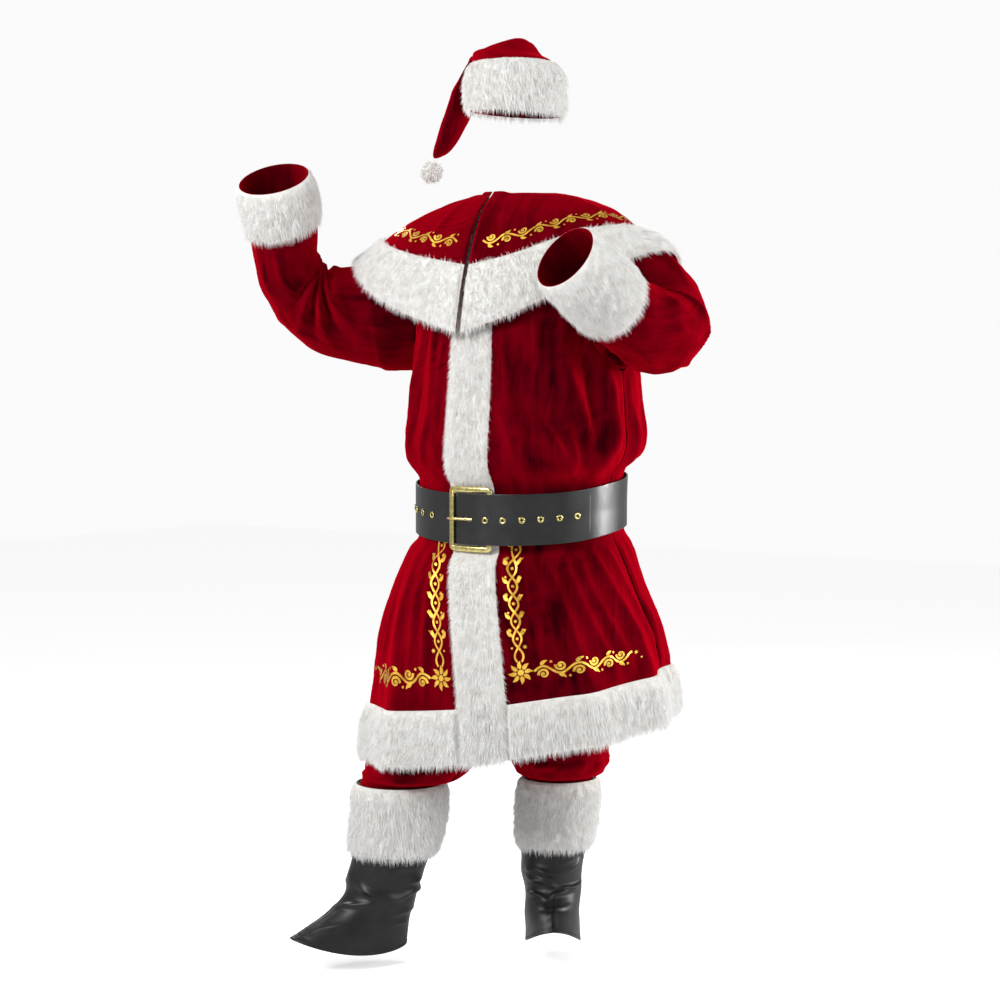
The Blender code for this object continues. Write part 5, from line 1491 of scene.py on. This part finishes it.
# %% [markdown]
# ## Trousers
# Each leg is one piece of velvet, wide over the hips and gathered where it goes into the boot cover, so it blouses over the top
# of the boot's fur. Most of it hides under the coat, but it is all there.

# %% Leg tables
# height, closed (0 over the hips, 1 below the crotch), centre x, centre y, half width, half depth
RIGHT_LEG = (
    (1.005, 0.00, -0.085, 0.000, 0.158, 0.128),
    (0.920, 0.00, -0.085, 0.000, 0.164, 0.134),
    (0.860, 0.10, -0.088, 0.000, 0.168, 0.138),
    (0.820, 0.35, -0.090, -0.002, 0.132, 0.120),
    (0.795, 0.75, -0.092, -0.004, 0.100, 0.108),
    (0.775, 1.00, -0.095, -0.007, 0.091, 0.104),
    (0.680, 1.00, -0.110, -0.042, 0.094, 0.100),
    (0.580, 1.00, -0.124, -0.078, 0.092, 0.096),
    (0.500, 1.00, -0.131, -0.096, 0.088, 0.088),
    (0.450, 1.00, -0.139, -0.108, 0.090, 0.090),
    (0.418, 1.00, -0.148, -0.122, 0.097, 0.097),
    (0.396, 1.00, -0.158, -0.134, 0.104, 0.103),
    (0.383, 1.00, -0.168, -0.140, 0.090, 0.090),
    (0.366, 1.00, -0.191, -0.1475, 0.0788, 0.0788),
    (0.300, 1.00, -0.197, -0.155, 0.0733, 0.0733),
    (0.200, 1.00, -0.205, -0.168, 0.063, 0.063),
)
LEFT_LEG = (
    (1.005, 0.00, 0.085, 0.000, 0.158, 0.128),
    (0.920, 0.00, 0.085, 0.000, 0.164, 0.134),
    (0.860, 0.10, 0.088, 0.000, 0.168, 0.138),
    (0.820, 0.35, 0.090, 0.002, 0.132, 0.120),
    (0.795, 0.75, 0.092, 0.004, 0.100, 0.108),
    (0.775, 1.00, 0.095, 0.006, 0.091, 0.104),
    (0.680, 1.00, 0.092, 0.022, 0.090, 0.098),
    (0.580, 1.00, 0.080, 0.040, 0.086, 0.094),
    (0.500, 1.00, 0.068, 0.054, 0.087, 0.093),
    (0.440, 1.00, 0.058, 0.063, 0.091, 0.096),
    (0.412, 1.00, 0.052, 0.068, 0.094, 0.097),
    (0.394, 1.00, 0.048, 0.072, 0.092, 0.094),
    (0.383, 1.00, 0.044, 0.077, 0.080, 0.082),
    (0.366, 1.00, 0.038, 0.083, 0.0679, 0.0679),
    (0.300, 1.00, 0.035, 0.080, 0.0645, 0.0645),
    (0.200, 1.00, 0.029, 0.075, 0.055, 0.055),
)


def leg(side, table, f, z):
    """f runs 0 to 1 from the centre front or inside seam, round the outside, to the centre back or inside seam."""
    t = np.array(table)[::-1]
    shut, cx, cy, a, b = (curve(t[:, 0], t[:, k], z)[:, None] for k in range(1, 6))
    turn = np.pi * f[None, :]
    hip_x, hip_y = side * (a * np.sin(turn)), -b * np.cos(turn)
    leg_x, leg_y = cx - side * a * np.cos(2 * turn), cy - b * np.sin(2 * turn)
    x, y = hip_x * (1 - shut) + leg_x * shut, hip_y * (1 - shut) + leg_y * shut
    inside = np.where(z[:, None] > 0.772, 0.0004, -1.0)
    return np.stack(np.broadcast_arrays(side * np.maximum(side * x, inside), y, z[:, None]), -1)


# Creases where a leg blouses over its boot: degrees round, height at the start and end, bend, half width, height out
LEG_CREASES = (
    (-178, 0.452, -118, 0.418, 0.008, 0.008, 0.0080),
    (-150, 0.470, -85, 0.440, -0.008, 0.009, 0.0085),
    (-112, 0.424, -58, 0.404, 0.006, 0.007, 0.0070),
    (-90, 0.462, -30, 0.428, 0.010, 0.009, 0.0090),
    (-48, 0.480, -6, 0.446, -0.006, 0.009, 0.0080),
    (-38, 0.416, 16, 0.404, 0.006, 0.007, 0.0070),
    (-8, 0.432, 52, 0.466, -0.008, 0.009, 0.0090),
    (24, 0.410, 74, 0.424, 0.006, 0.007, 0.0075),
    (44, 0.478, 100, 0.442, 0.008, 0.009, 0.0085),
    (82, 0.408, 132, 0.432, -0.006, 0.007, 0.0075),
    (104, 0.470, 158, 0.446, 0.008, 0.009, 0.0085),
    (138, 0.412, 178, 0.426, 0.005, 0.007, 0.0070),
    (-150, 0.72, -130, 0.50, 0.008, 0.010, 0.0060),
    (-100, 0.73, -84, 0.49, -0.010, 0.010, 0.0065),
    (-50, 0.72, -40, 0.50, 0.010, 0.010, 0.0060),
    (5, 0.74, -4, 0.49, -0.008, 0.010, 0.0065),
    (50, 0.72, 62, 0.50, 0.010, 0.010, 0.0060),
    (100, 0.73, 92, 0.49, -0.010, 0.010, 0.0065),
    (146, 0.72, 156, 0.50, 0.008, 0.010, 0.0060),
)
for k in range(13):
    height, end = 0.374 + 0.004 * (k % 3), 0.428 + 0.012 * (k % 2)
    LEG_CREASES += ((-168 + 26 * k, height, -160 + 27 * k, end, 0.003, 0.006, 0.0060),)
LEG_DEGREE, LEG_CLOTH, BOOT_TOP = 0.0016, 0.0018, 0.381
leg_table = [(a * LEG_DEGREE, b, c * LEG_DEGREE, d, *rest) for a, b, c, d, *rest in LEG_CREASES]
for side, name, table in ((-1, "right", RIGHT_LEG), (1, "left", LEFT_LEG)):
    z = np.concatenate([np.linspace(0.2, 0.36, 9), np.linspace(0.366, 0.53, 52), np.linspace(0.54, 1.005, 40)])
    f = np.linspace(0.004, 0.996, 54)
    p = leg(side, table, f, z)
    n = unit(grid_normals(p, False) * (1, 1, 0.6))
    n = -n if np.sum((p - p.mean(axis=1, keepdims=True)) * n) < 0 else n
    degrees, height = (f[None, :] * 360.0 - 180.0) * np.ones_like(p[..., 0]), p[..., 2]
    out = creases(leg_table, degrees * LEG_DEGREE, height) + 0.0010 * smooth_noise(p, 0.03)
    out = out * ramp(height, 0.378, 0.395) * (1 - ramp(height, 0.74, 0.80)) * ramp(np.minimum(f, 1 - f), 0.0, 0.04)[None, :]
    out += 0.0115 * np.exp(-(((height - BOOT_TOP) / 0.009) ** 2))
    p = p + out[..., None] * n
    ob = piece(shell(f"trouser_{name}_cloth", p, n, LEG_CLOTH), VELVET, "velvet", "trouser_" + name)
a = np.radians(np.arange(240) * 1.5)
share = np.linspace(0, 1, 16)[:, None]
narrow, height = 1 - 0.01 * share, 1.0053 + 0.0397 * share
p = np.stack(np.broadcast_arrays(narrow * 0.160 * np.sin(a), -narrow * 0.130 * np.cos(a), height), -1)
n = outward(p, closed=True)
ruffle = 0.0012 * np.sin(a * 60) * np.sin(np.pi * share)
ob = piece(shell("waistband_cloth", p + ruffle[..., None] * n, n, 0.003, closed=True), VELVET, "velvet", "waistband")

# %% [markdown]
# ## Boot covers
# A boot cover is a shaft of the same imitation leather that flares over the instep, open below, with a deep band of fur at the
# top. Soft folds stack at the ankle.

# %% Boots
# Back and front of each row with their heights, half width, sideways shift
RIGHT_BOOT = (
    (-0.134, 0.362, 0.042, 0.362, 0.088, 0.0),
    (-0.126, 0.325, 0.036, 0.325, 0.082, 0.0),
    (-0.116, 0.270, 0.042, 0.270, 0.078, 0.0),
    (-0.104, 0.222, 0.050, 0.224, 0.076, 0.0),
    (-0.088, 0.175, 0.058, 0.180, 0.070, 0.0),
    (-0.074, 0.135, 0.068, 0.146, 0.063, 0.0),
    (-0.064, 0.095, 0.098, 0.116, 0.057, 0.0),
    (-0.060, 0.062, 0.142, 0.092, 0.054, 0.0),
    (-0.058, 0.036, 0.190, 0.068, 0.053, 0.0),
)
LEFT_BOOT = (
    (-0.084, 0.362, 0.068, 0.362, 0.075, -0.014),
    (-0.080, 0.325, 0.064, 0.325, 0.071, -0.013),
    (-0.078, 0.270, 0.062, 0.270, 0.069, -0.008),
    (-0.076, 0.222, 0.062, 0.224, 0.066, -0.004),
    (-0.072, 0.175, 0.062, 0.180, 0.061, 0.0),
    (-0.068, 0.135, 0.068, 0.146, 0.056, 0.0),
    (-0.064, 0.095, 0.098, 0.120, 0.054, 0.0),
    (-0.062, 0.062, 0.142, 0.104, 0.055, 0.0),
    (-0.060, 0.036, 0.190, 0.090, 0.056, 0.0),
)
BOOT_COLUMNS = 18
# Folds round the ankle: row, angle from the toe, half sizes, depth
BOOT_CREASES = ((4.2, 30, 0.7, 70, 0.006), (5.2, -110, 0.6, 60, 0.005), (3.0, 150, 0.7, 60, 0.004), (6.2, 60, 0.6, 50, 0.004))


def boot(table, at, heading, columns, v):
    """Points of a boot cover; column 0 is at the toe side and v runs down from the top."""
    t = np.array(table)
    knots = np.arange(len(t), dtype=float)
    back, back_z, front, front_z, half, shift = (curve(knots, t[:, k], v)[:, None] for k in range(6))
    a = 2 * np.pi * np.asarray(columns, float)[None, :] / BOOT_COLUMNS
    forward, sideways = (back + front) / 2 + (front - back) / 2 * np.cos(a), half * np.sin(a)
    z = (back_z + front_z) / 2 + (front_z - back_z) / 2 * np.cos(a) - 0.020 * ramp(v, 5.0, 8.0)[:, None] * np.sin(a) ** 2
    out = 0
    for place, turn, long, broad, depth in BOOT_CREASES:
        out = out + depth * np.exp(-(((v[:, None] - place) / long) ** 2) - (around(np.degrees(a) - turn) / broad) ** 2)
    forward, sideways = forward + out * np.cos(a), sideways + shift + out * np.sin(a)
    t = math.radians(heading)
    ahead, right = np.array([math.sin(t), -math.cos(t)]), np.array([-math.cos(t), -math.sin(t)])
    x = at[0] + forward * ahead[0] + sideways * right[0]
    y = at[1] + forward * ahead[1] + sideways * right[1]
    return np.stack(np.broadcast_arrays(x, y, z), -1)


# Folds of each boot: row down and degrees from the toe at the start and end, bend, half width, height out
RIGHT_FOLDS = (
    (4.6, -175, 5.0, -95, 0.006, 0.006, 0.0075),
    (5.0, -110, 4.2, -20, -0.010, 0.007, 0.0085),
    (5.6, -165, 5.9, -90, 0.004, 0.006, 0.0045),
    (6.2, -160, 6.4, -100, 0.003, 0.006, 0.0035),
    (3.9, -160, 4.2, -90, -0.004, 0.006, 0.0045),
    (5.4, -70, 5.9, 0, 0.008, 0.006, 0.0060),
    (3.4, -120, 3.9, -50, 0.006, 0.007, 0.0045),
    (4.4, 20, 5.0, 110, 0.008, 0.007, 0.0080),
    (5.2, 60, 5.6, 150, -0.006, 0.006, 0.0065),
    (4.1, 120, 4.5, 185, 0.005, 0.006, 0.0060),
    (5.9, 20, 6.6, 90, 0.006, 0.006, 0.0045),
    (6.4, -60, 7.3, -20, 0.005, 0.006, 0.0035),
)
LEFT_FOLDS = (
    (3.5, -75, 4.2, -5, 0.006, 0.007, 0.0085),
    (4.2, -5, 3.9, 60, 0.004, 0.006, 0.0080),
    (4.3, 60, 4.9, -10, -0.006, 0.006, 0.0085),
    (4.9, -10, 4.6, -80, 0.004, 0.006, 0.0080),
    (5.0, -60, 5.6, 10, 0.006, 0.006, 0.0080),
    (5.6, 10, 5.3, 75, 0.004, 0.006, 0.0075),
    (5.9, -45, 6.3, 30, -0.005, 0.005, 0.0055),
    (6.3, -1, 7.7, 2, 0.001, 0.006, 0.0060),
    (3.9, 110, 4.4, 190, 0.006, 0.007, 0.0070),
    (4.7, 130, 5.2, 215, -0.006, 0.006, 0.0065),
    (5.5, 100, 5.9, 180, 0.004, 0.006, 0.0055),
)
BOOTS = (
    ("right", RIGHT_BOOT, (-0.216, -0.188), -30.0, 0.027, RIGHT_FOLDS),
    ("left", LEFT_BOOT, (0.030, 0.070), 35.0, 0.024, LEFT_FOLDS),
)
STITCH_LINES = {}
for name, table, at, heading, tall, small in BOOTS:
    v = np.concatenate([np.linspace(0, 2.8, 14), np.linspace(2.88, 8, 78)])
    columns = np.arange(66) / 66 * BOOT_COLUMNS
    p = boot(table, at, heading, columns, v)
    n = outward(p, closed=True)
    degrees = around(columns * 360.0 / BOOT_COLUMNS)[None, :] * np.ones((len(v), 1))
    v = v[:, None]
    out = tube_creases(small, degrees, v * np.ones_like(degrees), 0.00115, 0.042) + 0.0008 * smooth_noise(p, 0.03)
    ridge = 0.0009 * np.exp(-((degrees / 1.2) ** 2)) + 0.0009 * np.exp(-((around(degrees - 180) / 1.2) ** 2))
    hem = -0.0008 * np.exp(-(((v - 7.72) / 0.05) ** 2))
    p = p + (out * ramp(v, 2.9, 3.5) * (1 - ramp(v, 7.5, 8.0)) + ridge + hem)[..., None] * n
    leather = f"boot_{name}_leather"
    ob = piece(shell(leather, p, n, 0.0016, closed=True), BOOT_VINYL, "vinyl", "boot_" + name)
    raised = p + GAP * n
    STITCH_LINES[name] = [np.concatenate([raised[-4], raised[-4, :1]]), raised[16:-3, 1], raised[16:-3, -1]]
    p = boot(table, at, heading, np.arange(110) / 110 * BOOT_COLUMNS, np.linspace(0, 3, 32))
    n = outward(p, closed=True)
    fur_strip("boot_fur_" + name, p, n, band_height(p, tall), down(p), 6, closed=True)

# %% [markdown]
# ## Stitches
# The boot covers are sewn with stout black thread, along the hem and down both sides of the front seam. A stitch is a short
# plump rod of six sides, and a tree puts one at each point of a line. They are drawn 4 mm apart, a little coarser than real ones.

# %% A stitch and the lines that it follows
verts, faces = [], []
for z, r in ((-0.0016, 0.0002), (-0.0009, 0.0005), (0.0009, 0.0005), (0.0016, 0.0002)):
    verts += [(r * math.cos(k * math.pi / 3), r * math.sin(k * math.pi / 3), z) for k in range(6)]
for i in range(3):
    faces += [(i * 6 + k, i * 6 + (k + 1) % 6, i * 6 + 6 + (k + 1) % 6, i * 6 + 6 + k) for k in range(6)]
faces += [(5, 4, 3, 2, 1, 0), (18, 19, 20, 21, 22, 23)]
stitch_mesh = bpy.data.meshes.new("stitch")
stitch_mesh.from_pydata(verts, [], faces)
stitch = bpy.data.objects.new("stitch", stitch_mesh)


def along_line(line, step):
    """Evenly spaced points of a line and the directions there."""
    run = run_along(line)
    at = np.arange(step / 2, run[-1], step)
    points = np.stack([np.interp(at, run, line[:, k]) for k in range(3)], -1)
    return points, unit(np.gradient(points, axis=0))


STITCH_STEP = 0.004
for name, lines in STITCH_LINES.items():
    points, ways = (np.concatenate(part) for part in zip(*(along_line(line, STITCH_STEP) for line in lines)))
    name = f"boot_{name}_stitches"
    piece(row_of(name, points, ways, stitch, THREAD), THREAD, "vinyl")
    print(name, len(points), "stitches")

# %% [markdown]
# ## Hat
# A stocking cap of the same velvet: a plush band round its opening, and a long point that folds over to the right and hangs down
# with its pompom.

# %% Hat form
# Each row's right and left point as worn, then over the top its inner and outer point: x, z, x, z, half depth, centre y
HAT_ROWS = (
    (-0.084, 1.700, 0.084, 1.690, 0.104, -0.020),
    (-0.085, 1.725, 0.085, 1.718, 0.105, -0.020),
    (-0.085, 1.750, 0.084, 1.746, 0.104, -0.020),
    (-0.084, 1.774, 0.080, 1.774, 0.102, -0.018),
    (-0.085, 1.789, 0.066, 1.796, 0.094, -0.014),
    (-0.092, 1.799, 0.034, 1.820, 0.082, -0.008),
    (-0.099, 1.802, -0.002, 1.838, 0.066, 0.000),
    (-0.105, 1.798, -0.042, 1.829, 0.056, 0.004),
    (-0.110, 1.789, -0.080, 1.815, 0.049, 0.006),
    (-0.116, 1.773, -0.112, 1.796, 0.043, 0.004),
    (-0.124, 1.735, -0.152, 1.742, 0.038, -0.004),
    (-0.134, 1.690, -0.174, 1.690, 0.034, -0.012),
    (-0.146, 1.655, -0.188, 1.652, 0.027, -0.020),
    (-0.163, 1.630, -0.194, 1.626, 0.018, -0.026),
    (-0.176, 1.621, -0.192, 1.617, 0.008, -0.030),
)


def hat_grid(v, columns):
    """Points of the hat at these rows of its table, round from its left."""
    t = np.array(HAT_ROWS)
    left_x, left_z, right_x, right_z, half, y = (curve(np.arange(len(t)), t[:, k], v)[:, None] for k in range(6))
    a = 2 * np.pi * np.arange(columns)[None, :] / columns
    x = (left_x + right_x) / 2 + (right_x - left_x) / 2 * np.cos(a)
    z = (left_z + right_z) / 2 + (right_z - left_z) / 2 * np.cos(a)
    return np.stack(np.broadcast_arrays(x, y - half * np.sin(a), z), -1)


v = np.linspace(0, len(HAT_ROWS) - 1, 110)[:, None]
p = hat_grid(v[:, 0], 72)
n = outward(p, closed=True)
degrees = around(np.arange(72) * 5.0)[None, :] * np.ones_like(v)
row = v * np.ones_like(degrees)
HAT_CREASES = (
    (4.2, -170, 5.6, -100, 0.006, 0.007, 0.0050),
    (4.4, 60, 5.9, 128, -0.006, 0.007, 0.0055),
    (4.3, -75, 6.2, -22, 0.006, 0.007, 0.0060),
    (5.4, -130, 7.0, -60, -0.006, 0.007, 0.0055),
    (6.4, 100, 8.0, 170, 0.006, 0.006, 0.0050),
    (6.9, -150, 8.6, -70, -0.005, 0.006, 0.0055),
    (8.0, -60, 10.4, -95, 0.005, 0.006, 0.0050),
    (8.2, 20, 10.2, 60, 0.005, 0.006, 0.0045),
    (9.0, -170, 11.4, -130, 0.005, 0.005, 0.0040),
    (9.8, 100, 12.2, 140, 0.004, 0.005, 0.0040),
    (10.6, -60, 12.6, -30, 0.004, 0.005, 0.0035),
)
# The folded top: row, degrees from the outer side, half sizes, height out
HAT_BUMPS = ((4.95, 0, 0.45, 60, -0.0060), (5.90, 0, 0.32, 40, 0.0080), (7.05, 0, 0.58, 90, -0.0160), (8.35, 0, 0.50, 60, 0.0060))
out = tube_creases(HAT_CREASES, degrees, row, 0.0012, 0.02) + 0.0009 * smooth_noise(p, 0.025)
for at, turn, long, broad, high in HAT_BUMPS:
    out += high * np.exp(-(((row - at) / long) ** 2) - ((degrees - turn) / broad) ** 2)
p = p + (out * ramp(v, 4.0, 4.6) * (1 - ramp(v, 12.0, 13.5)))[..., None] * n
hat = shell("hat_cloth", p, n, 0.0018, closed=True)
tip = Vector(sunk(p[-1].mean(axis=0)))


def close_tip(work):
    ends = [e for e in work.edges if e.is_boundary and (e.verts[0].co - tip).length < 0.02]
    bmesh.ops.holes_fill(work, edges=ends, sides=0)


edit(hat.data, close_tip)
piece(hat, VELVET, "velvet", "hat")
p = hat_grid(np.linspace(0, 4, 30), 130)
n = outward(p, closed=True)
fur_strip("hat_fur", p, n, band_height(p, 0.016), down(p), 7, closed=True)

# %% Pompom
ball, radius = np.array((-0.198, -0.034, 1.590)), 0.0265
work = bmesh.new()
bmesh.ops.create_icosphere(work, subdivisions=4, radius=1.0)
for vert in work.verts:
    way = np.array(vert.co)
    lump = 0.74 + 0.07 * noise.noise(Vector(way * 2.2)) + 0.05 * noise.noise(Vector(way * 5.0))
    vert.co = Vector(sunk(ball + radius * lump * way))
mesh = bpy.data.meshes.new("pompom_core")
work.to_mesh(mesh)
work.free()
mesh.shade_smooth()
core = in_scene("pompom_core", mesh)
away = np.array([v.co for v in mesh.vertices]) - sunk(ball)
store(mesh, way=unit(away), comb=unit(np.cross(away, (0.3, 0.2, 1.0))), reach=np.full(len(away), 0.0085))
pile = grown("pompom_pile", core, FIBRES, Clump=clump, Density=150000, Seed=9, Ruffle=0.7, Finish=FUR_FIBRES)
piece(pile, FUR_FIBRES, "fur")
piece(core, FUR_BACKING, "fur", "pompom")

# %% Sizes, and the end
import json

bpy.context.view_layer.update()
graph = bpy.context.evaluated_depsgraph_get()
counts = {}
for ob in bpy.context.scene.objects:
    if ob.type == "MESH" and ob is not floor and not ob.hide_render:
        mesh = ob.evaluated_get(graph).to_mesh()
        mesh.calc_loop_triangles()
        counts[ob.name] = len(mesh.loop_triangles)
        ob.evaluated_get(graph).to_mesh_clear()
print("most triangles", sorted(counts.items(), key=lambda item: -item[1])[:12], "total", sum(counts.values()))
